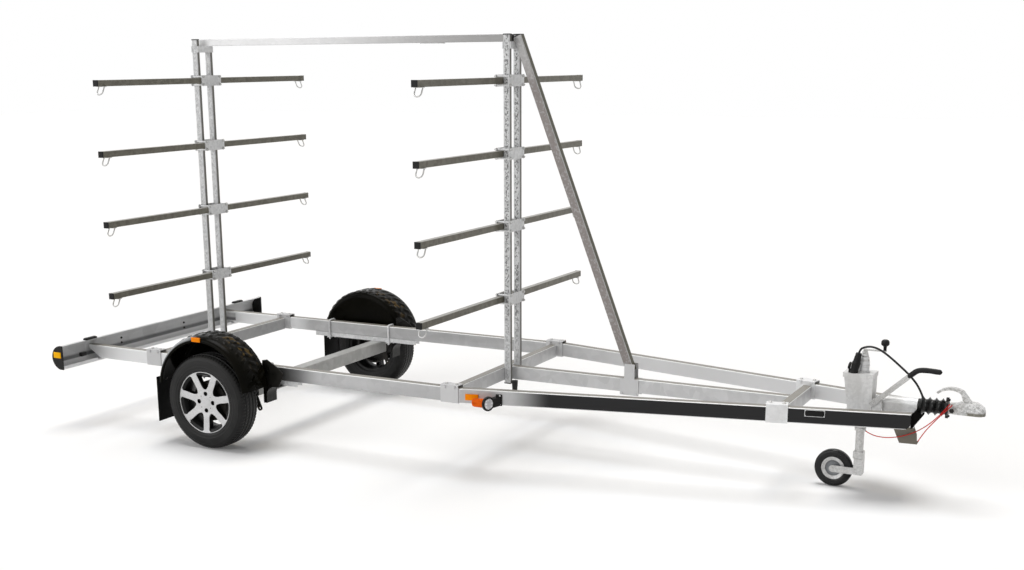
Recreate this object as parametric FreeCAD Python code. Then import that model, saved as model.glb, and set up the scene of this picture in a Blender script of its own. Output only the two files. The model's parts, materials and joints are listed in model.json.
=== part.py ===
import FreeCAD, Part
import math
import os
from FreeCAD import Vector

# Boat trailer with two four-level racks, in millimetres.
# Modelled with x = 0 at the road wheels' axis, +X forward to the coupling, +Y to the left,
# z = 0 on the ground. Every piece is moved along X at the end, so that the origin lies under
# the middle of the trailer's length.

# Road wheels: 13 inch rims with low section tyres
wheelCentreY = 877.5
wheelRadius = 280.0
tyreWidth = 165.0
tyreSidewall = 9.0
rimFlangeRadius = 182.0
rimSeatRadius = 165.0
rimWidth = 140.0
rimWellRadius = 140.0
rimBarrelWall = 5.0
rimFlangeThickness = 5.0
beadGap = 0.3
spokeCount = 7
spokeDepth = 18.0
spokeTipInset = 5.0
hubFaceInset = 14.5
hubPadRadius = 62.0
hubBoreRadius = 29.0
hubBoreCover = 12.0
windowInnerRadius = 71.0
windowInnerHalf = 17.0
windowInnerCorner = 15.0
windowOuterHalf = 47.0
windowOuterCorner = 9.0
windowEdge = 1.0
lugCircleRadius = 50.0
lugHoleRadius = 8.0
lugCount = 4
drumRadius = 118.0
drumWidth = 62.0
spindleRadius = 24.0

# Chassis rails: rectangular tube, straight to the bend and then drawn in to the coupling
railOuterY = 689.0
railWidth = 50.0
railBottom = 393.0
railHeight = 80.0
railWall = 3.0
railCorner = 6.0
railRearTopX = -1134.0
railRearCut = 100.0
bendX = 1550.0
drawbarFrontX = 3820.0
drawbarFrontY = 170.0
frontCornerRadius = 34.0

# Cross members and the middle beam
crossWidth = 50.0
crossHeight = 77.0
crossBottom = 385.0
crossWall = 3.0
crossCorner = 5.0
crossFrontX = 1450.0
crossRearX = -639.0
crossDrawbarX = 3160.0

# Wrap clamps that hold the cross members to the rails
clampLength = 110.0
clampSheet = 4.0
clampBoltSpace = 11.0
clampBoltRadius = 5.0
clampBoltPitch = 60.0

# Racks: posts of two tubes each, arms, top bar and strut
postTubeX = 42.0
postTubeY = 25.0
postPitch = 122.0
postWall = 2.5
postCorner = 6.0
postFrontBottom = 372.0
postTop = 2326.0
postCapHeight = 6.0
armSize = 35.0
armWall = 2.0
armCorner = 3.0
armHalfLength = 990.0
armCapLength = 6.0
capChamfer = 2.0
lowestArm = 845.0
highestArmBelowTop = 262.0
armShares = (0.0, 0.3421, 0.6735, 1.0)
armLevels = tuple(lowestArm + share * (postTop - highestArmBelowTop - lowestArm) for share in armShares)
armSeatEdge = 100.0
clampPlateLength = 186.0
clampPlateHeight = 64.0
clampPlateThickness = 5.0
rackBoltRadius = 5.0
rackBoltInset = 8.0
topBarWidth = 40.0
topBarHeight = 40.0
topBarWall = 2.5
topBarCorner = 3.0
topBarPast = 6.0
topPlateHeight = 38.0
strutDepth = 45.0
strutWall = 2.5
strutCorner = 4.0
strutTopZ = postTop - 8.0
strutFootX = 2262.0
strutFootZ = 505.0
strutPlateLength = 110.0
strutPlateThickness = 5.0
strutEarHeight = 84.0
seatGap = 0.3
stripLength = 150.0
stripX = 1010.0

# Lashing loops under the arms' ends
loopWire = 3.0
loopWidth = 30.0
loopDrop = 42.0
loopInset = 45.0
loopTabLength = 34.0
loopTabThickness = 3.0

# Axle: square tube with rubber-sprung trailing arms
axleCentreX = 160.0
axleSize = 80.0
axleWall = 4.0
axleCorner = 8.0
axleBottom = 286.0
axleHalfLength = 700.0
swingArmThickness = 22.0
swingArmRadius = 40.0
swingArmHubRadius = 38.0
mountRearX = -330.0
mountFrontX = 470.0
mountSheet = 4.0
uBoltRadius = 6.0
uBoltTail = 16.0
uBoltRearX = -210.0
uBoltFrontX = 262.0
uBoltStrapHalf = 14.0
damperEyeX = 206.0
damperEyeZ = 214.0
damperEyeRadius = 15.0
damperHoleRadius = 6.0
damperThickness = 8.0

# Mudguards
guardCentreX = -12.0
guardCentreZ = 340.0
guardRadius = 334.0
guardSheet = 3.0
guardInnerY = 738.0
guardOuterY = 965.0
guardRearZ = 372.0
guardShoulder = 34.0
guardRound = 26.0
guardLip = 34.0
guardReflectorHeight = 24.0
guardReflectorX = -33.0
flapThickness = 5.0
flapBottom = 130.0
flapTop = 398.0
flapWidth = 205.0
flapInset = 7.0
bracketSheet = 4.0
gussetRearX = 263.0
gussetFrontX = 410.0
gussetTop = 522.0
gussetLow = 262.0
gussetShelfInset = 30.0
strapRearX = 282.0
strapFrontX = 372.0
strapBend = 60.0
rearStayX = -252.0
rearStayWidth = 40.0
rearStayRise = 20.0
rearStayThickness = 6.0

# Light bar at the tail
barHalfLength = 992.0
barFrontX = -1062.0
barRearX = -1143.0
barTop = 520.0
barBottom = 375.0
barFlat = 22.0
barSheet = 2.5
barLip = 20.0
barCapThickness = 8.0
lampHeight = 110.0
lampLength = 240.0
lampDepth = 6.0
lampInset = 6.0
barReflectorLength = 58.0
barReflectorHeight = 36.0
barReflectorDepth = 4.0
barReflectorInset = 8.0
barReflectorRise = 16.5

# Overrun device and coupling
housingRearX = 3440.0
housingSheet = 5.0
housingFloorZ = 400.0
sleeveRadius = 33.0
sleeveRearX = 3650.0
shaftRadius = 25.0
shaftZ = 485.0
shaftRearX = 3630.0
shaftFrontX = 4010.0
bellowsRearX = 3826.0
bellowsFrontX = 3955.0
bellowsRadius = 46.0
bellowsWaist = 36.0
bellowsFolds = 4
collarRadius = 42.0
collarWidth = 14.0
collarEarReach = 42.0
collarEarRadius = 12.0
nosePlateThickness = 6.0
nosePlateInset = 4.0
nosePlateCorner = 18.0
hookPlateRearX = 3713.0
hookPlateFrontX = 3838.0
hookPlateDrop = 109.0
hookPlateThickness = 6.0
hookPlateY = -60.0
pivotRearX = 3604.0
pivotFrontX = 3650.0
pivotThickness = 6.0
headRearX = 3970.0
headFrontX = 4146.0
headWidth = 74.0
headRearWidth = 60.0
headTop = 522.0
headRearTop = 506.0
headBottom = 463.0
headNoseDrop = 22.0
headBoltRadius = 9.0
headBoltStand = 6.0
ballX = 4098.0
ballZ = 466.0
ballSocketRadius = 25.4
handleThickness = 14.0
handleHalfWidth = 13.0
handleReach = 64.0
handleRise = 70.0
leverY = -58.0
leverThickness = 8.0
leverDepth = 26.0
gripRadius = 14.0
gripCorner = 7.0
gripLength = 120.0

# Jockey wheel and its tubes
jockeyX = housingRearX + 100.0
jockeyTubeRadius = 24.0
jockeyTubeTop = 690.0
jockeyTubeBottom = 318.0
jockeyCollarRadius = 29.0
jockeyCollarHeight = 14.0
jockeyLegRadius = 21.5
jockeyLegBottom = 190.0
forkCapTop = 205.0
forkCapBottom = 168.0
forkCapHalf = 25.0
forkWheelSide = 18.0
jockeyLegTop = 560.0
jockeyFit = 0.06
jockeyWheelRadius = 100.0
jockeyWheelWidth = 44.0
jockeyWheelTrail = 126.0
jockeyTyreSection = 24.0
jockeyAxleRadius = 8.0
forkSheet = 6.0
forkHeight = 36.0
forkGap = 3.0
towerTop = 628.0
towerRearLow = jockeyX - 60.0
towerRearHigh = jockeyX - 90.0
towerFront = jockeyX + 58.0
towerHalfLow = 44.0
towerHalfHigh = 54.0
towerRim = 24.0
towerRimStand = 3.0

# Parked plug and the cords at the coupling, their points chosen along the way they hang
plugX = jockeyX - 48.0
plugY = -44.0
plugLeanAngle = 15.0
plugRadius = 21.0
plugHeight = 62.0
plugHingeHalf = 10.0
plugHingeHeight = 40.0
plugNeckHeight = 40.0
plugNeckRadius = 12.0
leadDiameter = 11.0
glandRadius = 8.0
glandLength = 24.0
eyeRadius = 4.0
breakawayDiameter = 5.0

# Lamps and reflectors
reflectorLength = 74.0
reflectorHeight = 34.0
reflectorDepth = 6.0
railReflectorX = 1615.0
railReflectorRise = 36.0
markerX = 1720.0
markerRise = 32.0
markerStandWidth = 28.0
markerStandReach = 46.0
markerHeight = 44.0
markerRear = 62.0
markerFront = 34.0
markerNear = 30.0
markerFar = 58.0
markerCorner = 6.0
latchInset = 212.0
latchLength = 95.0
latchHeight = 13.0
latchDepth = 26.0
strutCapLength = 5.0

originShift = -(headFrontX + barRearX) / 2.0


def box(x0, x1, y0, y1, z0, z1):
    return Part.makeBox(x1 - x0, y1 - y0, z1 - z0, Vector(x0, y0, z0))


def cylinder(radius, start, end):
    direction = end.sub(start)
    return Part.makeCylinder(radius, direction.Length, start, direction)


def polygonFace(points):
    return Part.Face(Part.makePolygon(list(points) + [points[0]]))


def mirrorY(shape):
    return shape.mirror(Vector(0, 0, 0), Vector(0, 1, 0))


def rectangleOutline(width, height, corner=0.0):
    # Rectangle about the origin of the YZ plane, its corners square or cut at 45 degrees
    a = width / 2.0
    b = height / 2.0
    if corner == 0:
        return Part.makePolygon([Vector(0, a, b), Vector(0, -a, b), Vector(0, -a, -b), Vector(0, a, -b),
                                 Vector(0, a, b)])
    c = corner * (2.0 - math.sqrt(2.0))
    ring = [Vector(0, a, b - c), Vector(0, a - c, b), Vector(0, c - a, b), Vector(0, -a, b - c),
            Vector(0, -a, c - b), Vector(0, c - a, -b), Vector(0, a - c, -b), Vector(0, a, c - b)]
    return Part.makePolygon(ring + [ring[0]])


def roundedOutline(width, height, corner):
    # Rectangle about the origin of the YZ plane with round corners
    a = width / 2.0
    b = height / 2.0
    k = corner * (1.0 - math.sqrt(0.5))
    edges = []
    corners = ((a, b, 1, 1), (-a, b, -1, 1), (-a, -b, -1, -1), (a, -b, 1, -1))
    ends = []
    for y, z, sy, sz in corners:
        alongY = Vector(0, y - sy * corner, z)
        alongZ = Vector(0, y, z - sz * corner)
        middle = Vector(0, y - sy * k, z - sz * k)
        first, last = (alongZ, alongY) if sy * sz > 0 else (alongY, alongZ)
        edges.append(Part.Arc(first, middle, last).toShape())
        ends.append((first, last))
    sides = [Part.makeLine(ends[i][1], ends[(i + 1) % 4][0]) for i in range(4)]
    ring = []
    for arc, side in zip(edges, sides):
        ring.extend((arc, side))
    return Part.Wire(ring)


def tubeAlong(start, end, width, height, wall, corner, up=Vector(0, 0, 1), outline=roundedOutline):
    # Tube between two points, or a full bar where the wall is 0; height is along the up direction
    direction = end.sub(start)
    length = direction.Length
    face = Part.Face(outline(width, height, corner))
    if wall > 0:
        face = face.cut(Part.Face(rectangleOutline(width - 2 * wall, height - 2 * wall)))
    solid = face.extrude(Vector(length, 0, 0))
    forward = Vector(direction).normalize()
    side = up.cross(forward).normalize()
    top = forward.cross(side)
    matrix = FreeCAD.Matrix(forward.x, side.x, top.x, start.x,
                            forward.y, side.y, top.y, start.y,
                            forward.z, side.z, top.z, start.z,
                            0, 0, 0, 1)
    solid.Placement = FreeCAD.Placement(matrix)
    return solid


# Geometry of the drawn-in part of the rails
drawbarAngle = math.degrees(math.atan2(railOuterY - drawbarFrontY, drawbarFrontX - bendX))
drawbarSlope = (railOuterY - drawbarFrontY) / (drawbarFrontX - bendX)
acrossStretch = 1.0 / math.cos(math.radians(drawbarAngle))
railTop = railBottom + railHeight
railInnerY = railOuterY - railWidth


def drawbarY(x, inset):
    # Half width of the drawbar at x, measured inset mm in from its outer face
    return railOuterY - (x - bendX) * drawbarSlope - inset * acrossStretch


def railOutline(inset, rearX, frontX):
    # Plan outline of one rail, pulled in by inset on both faces
    kinkShift = math.tan(math.radians(drawbarAngle / 2.0))
    outer = railOuterY - inset
    inner = railInnerY + inset
    return [Vector(rearX, outer, 0),
            Vector(bendX - inset * kinkShift, outer, 0),
            Vector(frontX, drawbarY(frontX, inset), 0),
            Vector(frontX, drawbarY(frontX, railWidth - inset), 0),
            Vector(bendX - (railWidth - inset) * kinkShift, inner, 0),
            Vector(rearX, inner, 0)]


def sideRail():
    outer = polygonFace(railOutline(0, railRearTopX, drawbarFrontX))
    outer.translate(Vector(0, 0, railBottom))
    solid = outer.extrude(Vector(0, 0, railHeight))
    long = [e for e in solid.Edges
            if abs(e.Vertexes[0].Z - e.Vertexes[1].Z) < 0.1
            and abs(e.Vertexes[0].X - e.Vertexes[1].X) > railWidth * 2]
    solid = solid.makeFillet(railCorner, long)
    past = 40.0
    inner = polygonFace(railOutline(railWall, railRearTopX - past, drawbarFrontX + past))
    inner.translate(Vector(0, 0, railBottom + railWall))
    solid = solid.cut(inner.extrude(Vector(0, 0, railHeight - 2 * railWall)))
    tail = Part.makePolygon([Vector(railRearTopX - past, 0, railTop + 1),
                             Vector(railRearTopX, 0, railTop + 1),
                             Vector(railRearTopX, 0, railTop - railHeight * 0.25),
                             Vector(railRearTopX + railRearCut, 0, railBottom - 1),
                             Vector(railRearTopX - past, 0, railBottom - 1),
                             Vector(railRearTopX - past, 0, railTop + 1)])
    solid = solid.cut(Part.Face(tail).extrude(Vector(0, railOuterY + 10, 0)))
    nose = box(drawbarFrontX - frontCornerRadius, drawbarFrontX + past, 0, drawbarFrontY * 2,
               railBottom - 1, railBottom + frontCornerRadius)
    nose = nose.cut(cylinder(frontCornerRadius,
                             Vector(drawbarFrontX - frontCornerRadius, 0, railBottom + frontCornerRadius),
                             Vector(drawbarFrontX - frontCornerRadius, drawbarFrontY * 2,
                                    railBottom + frontCornerRadius)))
    return solid.cut(nose)


def crossMember(x0, bottom):
    centre = x0 + crossWidth / 2.0
    reach = railInnerY - clampSheet
    return tubeAlong(Vector(centre, -reach, bottom + crossHeight / 2.0),
                     Vector(centre, reach, bottom + crossHeight / 2.0),
                     crossWidth, crossHeight, crossWall, crossCorner)


def drawbarCross():
    # Cross member between the drawn-in rails, its ends cut to their angle
    x0 = crossDrawbarX
    x1 = crossDrawbarX + crossWidth
    reach = railInnerY
    z = crossBottom + crossHeight / 2.0
    tube = tubeAlong(Vector(x0 + crossWidth / 2.0, -reach, z), Vector(x0 + crossWidth / 2.0, reach, z),
                     crossWidth, crossHeight, crossWall, crossCorner)
    inset = railWidth + clampSheet
    plan = polygonFace([Vector(x0, -drawbarY(x0, inset), 0), Vector(x1, -drawbarY(x1, inset), 0),
                        Vector(x1, drawbarY(x1, inset), 0), Vector(x0, drawbarY(x0, inset), 0)])
    plan.translate(Vector(0, 0, crossBottom - 1))
    return tube.common(plan.extrude(Vector(0, 0, crossHeight + 2)))


def wrapClamp():
    # Clamp about a rail that runs along X with its outer face at y = 0 and its inner at -railWidth
    half = clampLength / 2.0
    top = railTop + clampBoltSpace
    shell = box(-half, half, -railWidth - clampSheet, clampSheet, railBottom - clampSheet, top + clampSheet)
    long = [e for e in shell.Edges if abs(e.Vertexes[0].X - e.Vertexes[1].X) > clampLength * 0.5]
    shell = shell.makeChamfer(clampSheet * 0.7, long)
    shell = shell.cut(box(-half - 1, half + 1, -railWidth, 0, railBottom, top))
    bolts = []
    boltZ = railTop + clampBoltSpace / 2.0
    for x in (-clampBoltPitch / 2.0, clampBoltPitch / 2.0):
        bolts.append(hexPrism(clampBoltRadius, Vector(x, -railWidth - 14, boltZ), Vector(x, 6, boltZ)))
        bolts.append(hexPrism(8.5, Vector(x, clampSheet, boltZ), Vector(x, clampSheet + 6, boltZ)))
        bolts.append(hexPrism(8.5, Vector(x, -railWidth - clampSheet - 8, boltZ),
                              Vector(x, -railWidth - clampSheet, boltZ)))
    return shell.fuse(bolts)


def hexPrism(acrossHalf, start, end):
    # Hexagon head or nut between two points, by its half width across the flats
    direction = end.sub(start)
    radius = acrossHalf / math.cos(math.radians(30))
    points = [Vector(radius * math.cos(math.radians(60 * i)), radius * math.sin(math.radians(60 * i)), 0)
              for i in range(6)]
    solid = polygonFace(points).extrude(Vector(0, 0, direction.Length))
    turn = FreeCAD.Rotation(Vector(0, 0, 1), direction)
    solid.Placement = FreeCAD.Placement(start, turn)
    return solid


def barSection(radius, centre, direction, sides):
    # Section of a bent bar as a polygon of the round bar's own area
    reach = radius * math.sqrt(2.0 * math.pi / (sides * math.sin(2.0 * math.pi / sides)))
    angles = [2.0 * math.pi * (i + 0.5) / sides for i in range(sides)]
    points = [Vector(reach * math.cos(a), reach * math.sin(a), 0) for a in angles]
    ring = Part.makePolygon(points + [points[0]])
    ring.Placement = FreeCAD.Placement(centre, FreeCAD.Rotation(Vector(0, 0, 1), direction))
    return ring


def railClamps():
    clamps = []
    for x in (crossFrontX + crossWidth / 2.0 + 10, crossRearX + crossWidth / 2.0 + 14):
        one = wrapClamp()
        one.translate(Vector(x, railOuterY, 0))
        clamps.extend((one, mirrorY(one)))
    one = wrapClamp()
    one.rotate(Vector(0, 0, 0), Vector(0, 0, 1), -drawbarAngle)
    x = crossDrawbarX + crossWidth / 2.0
    one.translate(Vector(x, drawbarY(x, 0), 0))
    clamps.extend((one, mirrorY(one)))
    return clamps


def centreBeam():
    z = crossBottom + crossHeight / 2.0
    return tubeAlong(Vector(crossFrontX + crossWidth, 0, z), Vector(crossDrawbarX, 0, z),
                     crossWidth, crossHeight, crossWall, crossCorner)


# Racks
postFrontX = crossFrontX + crossWidth + postTubeX / 2.0
postRearX = crossRearX - postTubeX / 2.0
armFrontX = crossFrontX + crossWidth - armSize / 2.0
armRearX = crossRearX + armSize / 2.0
topBarTop = postTop + 4.0


def posts(x, bottom):
    made = []
    for side in (-1, 1):
        y = side * postPitch / 2.0
        made.append(tubeAlong(Vector(x, y, bottom), Vector(x, y, postTop),
                              postTubeY, postTubeX, postWall, postCorner, up=Vector(1, 0, 0)))
    return made


def chamferedEnd(cap, axis, level):
    # A cap with the edges of its outer face cut back
    edges = [e for e in cap.Edges if all(abs(getattr(v, axis) - level) < 0.01 for v in e.Vertexes)]
    return cap.makeChamfer(capChamfer, edges)


def postCaps():
    caps = []
    for x, bottom in ((postFrontX, postFrontBottom), (postRearX, postFrontBottom)):
        for side in (-1, 1):
            y = side * postPitch / 2.0
            for z in (postTop, bottom - postCapHeight):
                cap = box(x - postTubeX / 2.0, x + postTubeX / 2.0, y - postTubeY / 2.0,
                          y + postTubeY / 2.0, z, z + postCapHeight)
                outer = cap.BoundBox.ZMax if z == postTop else cap.BoundBox.ZMin
                caps.append(chamferedEnd(cap, "Z", outer))
    return caps


def arm(x, level):
    # One tube whose faces are split beside the clamp, so that each free top is a seat of its own
    z = level + armSize / 2.0
    edges = (-armHalfLength, -armSeatEdge, armSeatEdge, armHalfLength)
    lengths = [tubeAlong(Vector(x, y0, z), Vector(x, y1, z), armSize, armSize, armWall, armCorner,
                         outline=rectangleOutline)
               for y0, y1 in zip(edges, edges[1:])]
    return lengths[0].fuse(lengths[1:])


def armCaps():
    caps = []
    for x in (armFrontX, armRearX):
        for level in armLevels:
            cap = box(x - armSize / 2.0 - 0.5, x + armSize / 2.0 + 0.5, armHalfLength,
                      armHalfLength + armCapLength, level - 0.5, level + armSize + 0.5)
            cap = chamferedEnd(cap, "Y", armHalfLength + armCapLength)
            caps.extend((cap, mirrorY(cap)))
    return caps


def lashingLoop(x, level):
    # Bent wire loop that hangs from a small plate under the arm's left end
    top = level - loopTabThickness
    yTop = armHalfLength - loopInset
    lean = 16.0
    half = loopWidth / 2.0
    tab = box(x - half - loopWire, x + half + loopWire, yTop - loopTabLength / 2.0,
              yTop + loopTabLength / 2.0, top, level)
    down = Vector(0, lean, -(loopDrop - half)).normalize()
    legLength = loopDrop - half
    start = Vector(x - half, yTop, top)
    legEnd = start.add(Vector(down).multiply(legLength))
    farEnd = legEnd.add(Vector(loopWidth, 0, 0))
    bottom = Vector(x, yTop, top).add(Vector(down).multiply(legLength + half))
    path = Part.Wire([Part.makeLine(start, legEnd), Part.Arc(legEnd, bottom, farEnd).toShape(),
                      Part.makeLine(farEnd, start.add(Vector(loopWidth, 0, 0)))])
    wire = path.makePipeShell([barSection(loopWire, start, down, 6)], True, False)
    wire = wire.cut(box(x - loopWidth, x + loopWidth, yTop - loopTabLength, yTop + loopTabLength,
                        level - 0.01, level + armSize))
    return tab.fuse(wire)


def lashingLoops(x):
    made = []
    for level in armLevels:
        loop = lashingLoop(x, level)
        made.extend((loop, mirrorY(loop)))
    return made


def rackClamps(postX, armX):
    # Plates either side of post and arm, drawn together by four bolts at each level
    side = 1 if armX > postX else -1
    postFace = postX - side * postTubeX / 2.0
    armFace = armX + side * armSize / 2.0
    made = []
    for level in armLevels:
        z0 = level + armSize / 2.0 - clampPlateHeight / 2.0
        z1 = z0 + clampPlateHeight
        half = clampPlateLength / 2.0
        plates = []
        for face, way in ((postFace, -side), (armFace, side)):
            x0, x1 = sorted((face, face + way * clampPlateThickness))
            plates.append(box(x0, x1, -half, half, z0, z1))
        bolts = []
        for y in (-half + 14, half - 14):
            for z in (z0 + rackBoltInset, z1 - rackBoltInset):
                a = Vector(postFace - side * (clampPlateThickness + 8), y, z)
                b = Vector(armFace + side * (clampPlateThickness + 8), y, z)
                bolts.append(hexPrism(rackBoltRadius, a, b))
        made.append(plates[0].fuse([plates[1]] + bolts))
    return made


def topBar():
    z = topBarTop - topBarHeight / 2.0
    return tubeAlong(Vector(postRearX - postTubeX / 2.0 - topBarPast, 0, z), Vector(postFrontX, 0, z),
                     topBarWidth, topBarHeight, topBarWall, topBarCorner)


def topPlates():
    # Plates across each pair of post tubes that carry the top bar, and the strip under its middle
    half = postPitch / 2.0 + postTubeY / 2.0
    high = topBarTop - topBarHeight
    made = []
    for x in (postFrontX, postRearX):
        for side in (-1, 1):
            face = x + side * postTubeX / 2.0
            x0, x1 = sorted((face, face + side * clampPlateThickness))
            made.append(box(x0, x1, -half, half, high - topPlateHeight, high))
    made.append(box(stripX - stripLength / 2.0, stripX + stripLength / 2.0, -14, 14, high - 5, high))
    return made


def strutTop():
    # Its rear face meets the plate on the front of the posts near the top
    plateFace = postFrontX + postTubeX / 2.0 + clampPlateThickness + seatGap
    run = strutFootX - plateFace
    rise = strutTopZ - strutFootZ
    lean = math.atan2(run, rise)
    plateTop = topBarTop - topBarHeight
    topX = plateFace + (strutDepth / 2.0) / math.cos(lean) - (strutTopZ - plateTop) * math.tan(lean)
    return Vector(topX, 0, strutTopZ)


def strut():
    return tubeAlong(strutTop(), Vector(strutFootX, 0, strutFootZ), crossWidth, strutDepth, strutWall,
                     strutCorner, up=Vector(1, 0, 0))


def strutCap():
    # Plastic cap that closes the strut's upper end
    top = strutTop()
    along = top.sub(Vector(strutFootX, 0, strutFootZ)).normalize()
    return tubeAlong(top.add(along.multiply(strutCapLength)), top, crossWidth, strutDepth, 0, strutCorner,
                     up=Vector(1, 0, 0), outline=rectangleOutline)


def strutFoot():
    half = strutPlateLength / 2.0
    made = []
    inner = crossWidth / 2.0
    for side in (-1, 1):
        y0, y1 = sorted((side * inner, side * (inner + strutPlateThickness)))
        plate = box(strutFootX - half, strutFootX + half, y0, y1, crossBottom - 16, crossBottom + crossHeight)
        ear = box(strutFootX - half * 0.55, strutFootX + half * 0.55, y0, y1,
                  crossBottom + crossHeight - 1, crossBottom + crossHeight + strutEarHeight)
        made.append(plate.fuse(ear))
    bolts = []
    for x in (strutFootX - half + 14, strutFootX + half - 14):
        bolts.append(hexPrism(rackBoltRadius, Vector(x, -inner - 14, crossBottom - 8),
                              Vector(x, inner + 14, crossBottom - 8)))
    return made[0].fuse([made[1]] + bolts)


# Axle and what carries the wheels
axleTop = axleBottom + axleSize


def axleBeam():
    z = axleBottom + axleSize / 2.0
    return tubeAlong(Vector(axleCentreX, -axleHalfLength, z), Vector(axleCentreX, axleHalfLength, z),
                     axleSize, axleSize, axleWall, axleCorner)


def axleMounts():
    made = []
    for side in (-1, 1):
        y0, y1 = sorted((side * railInnerY, side * railOuterY))
        channel = box(mountRearX, mountFrontX, y0, y1, axleTop, railBottom)
        hollow = box(mountRearX - 1, mountFrontX + 1, y0 + mountSheet, y1 - mountSheet,
                     axleTop - 1, railBottom - mountSheet)
        made.append(channel.cut(hollow))
    return made


def uBolts():
    # Round bar bent over the rail, its legs drawn down by a strap under the axle mount
    made = []
    bend = railCorner + uBoltRadius
    y0 = railInnerY - uBoltRadius
    y1 = railOuterY + uBoltRadius
    top = railTop + uBoltRadius
    low = axleTop - uBoltTail
    k = bend * (1.0 - math.sqrt(0.5))
    past = uBoltStrapHalf
    for x in (uBoltRearX, uBoltFrontX):
        feet = [Vector(x, y0, low), Vector(x, y1, low)]
        ups = [Vector(x, y0, top - bend), Vector(x, y1, top - bend)]
        overs = [Vector(x, y0 + bend, top), Vector(x, y1 - bend, top)]
        path = Part.Wire([Part.makeLine(feet[0], ups[0]),
                          Part.Arc(ups[0], Vector(x, y0 + k, top - k), overs[0]).toShape(),
                          Part.makeLine(overs[0], overs[1]),
                          Part.Arc(overs[1], Vector(x, y1 - k, top - k), ups[1]).toShape(),
                          Part.makeLine(ups[1], feet[1])])
        section = barSection(uBoltRadius, feet[0], Vector(0, 0, 1), 8)
        bar = path.makePipeShell([section], True, False)
        strap = box(x - past, x + past, y0 - past, y1 + past, axleTop - mountSheet, axleTop)
        one = bar.fuse(strap)
        made.extend((one, mirrorY(one)))
    return made


def swingArm():
    # Left trailing arm with its spindle, from the beam's end back to the wheel's axis
    z = axleBottom + axleSize / 2.0
    y0 = axleHalfLength
    y1 = y0 + swingArmThickness
    front = cylinder(swingArmRadius, Vector(axleCentreX, y0, z), Vector(axleCentreX, y1, z))
    rear = cylinder(swingArmHubRadius, Vector(0, y0, wheelRadius), Vector(0, y1, wheelRadius))
    link = math.atan2(z - wheelRadius, axleCentreX)
    up = Vector(-math.sin(link), 0, math.cos(link))
    a = Vector(axleCentreX, y0, z)
    b = Vector(0, y0, wheelRadius)
    atBeam = Vector(up).multiply(swingArmRadius)
    atHub = Vector(up).multiply(swingArmHubRadius)
    plan = polygonFace([a.add(atBeam), b.add(atHub), b.sub(atHub), a.sub(atBeam)])
    web = plan.extrude(Vector(0, swingArmThickness, 0))
    spindle = cylinder(spindleRadius, Vector(0, y1 - 1, wheelRadius), Vector(0, hubFaceY - 2, wheelRadius))
    y2 = y0 + damperThickness
    root = Vector(axleCentreX, y0, z)
    eye = Vector(damperEyeX, y0, damperEyeZ)
    across = Vector(0, 1, 0).cross(eye.sub(root)).normalize().multiply(damperEyeRadius)
    tongue = polygonFace([root.add(across), eye.add(across), eye.sub(across), root.sub(across)])
    tongue = tongue.extrude(Vector(0, damperThickness, 0))
    lug = cylinder(damperEyeRadius, eye, Vector(damperEyeX, y2, damperEyeZ))
    whole = front.fuse([rear, web, spindle, tongue, lug])
    hole = cylinder(damperHoleRadius, eye.add(Vector(0, -1, 0)), Vector(damperEyeX, y2 + 1, damperEyeZ))
    return whole.cut(hole)


# Wheels
outerFaceY = wheelCentreY + tyreWidth / 2.0
rimOuterY = outerFaceY - 4.0
rimInnerY = rimOuterY - rimWidth
hubFaceY = rimOuterY - 52.0


def revolveAboutWheel(points, centre=None, seam=0.0):
    # Revolves (radius, y) points about the wheel's axis, from a plane turned to the seam's angle
    axisPoint = centre or Vector(0, 0, wheelRadius)
    face = polygonFace([Vector(axisPoint.x + r, y, axisPoint.z) for r, y in points])
    solid = face.revolve(axisPoint, Vector(0, 1, 0), 360)
    solid.rotate(axisPoint, Vector(0, 1, 0), seam)
    return solid


def tyre():
    # Beads inside the rim's flanges, walls that bulge past them, and a flat tread
    half = tyreWidth / 2.0
    c = wheelCentreY
    t = tyreSidewall
    shoulder = wheelRadius - 14.0
    treadHalf = half - 16.0
    bead = rimSeatRadius + beadGap
    low = rimInnerY + rimFlangeThickness + beadGap
    high = rimOuterY - rimFlangeThickness - beadGap
    outer = [(bead, low), (rimFlangeRadius + 2, low), (rimFlangeRadius + 6, c - half + 4),
             (rimFlangeRadius + 34, c - half), (shoulder, c - half + 8), (wheelRadius, c - treadHalf),
             (wheelRadius, c + treadHalf), (shoulder, c + half - 8), (rimFlangeRadius + 34, c + half),
             (rimFlangeRadius + 6, c + half - 4), (rimFlangeRadius + 2, high), (bead, high)]
    inner = [(bead, high - 14), (shoulder - 16, c + half - 4 - t), (wheelRadius - 16, c + treadHalf - 10),
             (wheelRadius - 16, c - treadHalf + 10), (shoulder - 16, c - half + 4 + t), (bead, low + 14)]
    return revolveAboutWheel(outer + inner, seam=100.0)


def rimBarrel():
    y1 = rimOuterY
    y0 = rimInnerY
    f = rimFlangeRadius
    s = rimSeatRadius
    w = rimWellRadius + 14
    t = rimBarrelWall
    flange = rimFlangeThickness
    outside = [(f, y0), (f, y0 + flange), (s, y0 + flange), (s, y0 + 26), (w, y0 + 38), (w, y1 - 60),
               (s, y1 - 44), (s, y1 - flange), (f, y1 - flange), (f, y1)]
    inside = [(f - t, y1), (s - t, y1 - 10), (s - t, y1 - 42), (w - t, y1 - 56), (w - t, y0 + 38),
              (s - t, y0 + 8), (f - t, y0)]
    return revolveAboutWheel(outside + inside)


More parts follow.
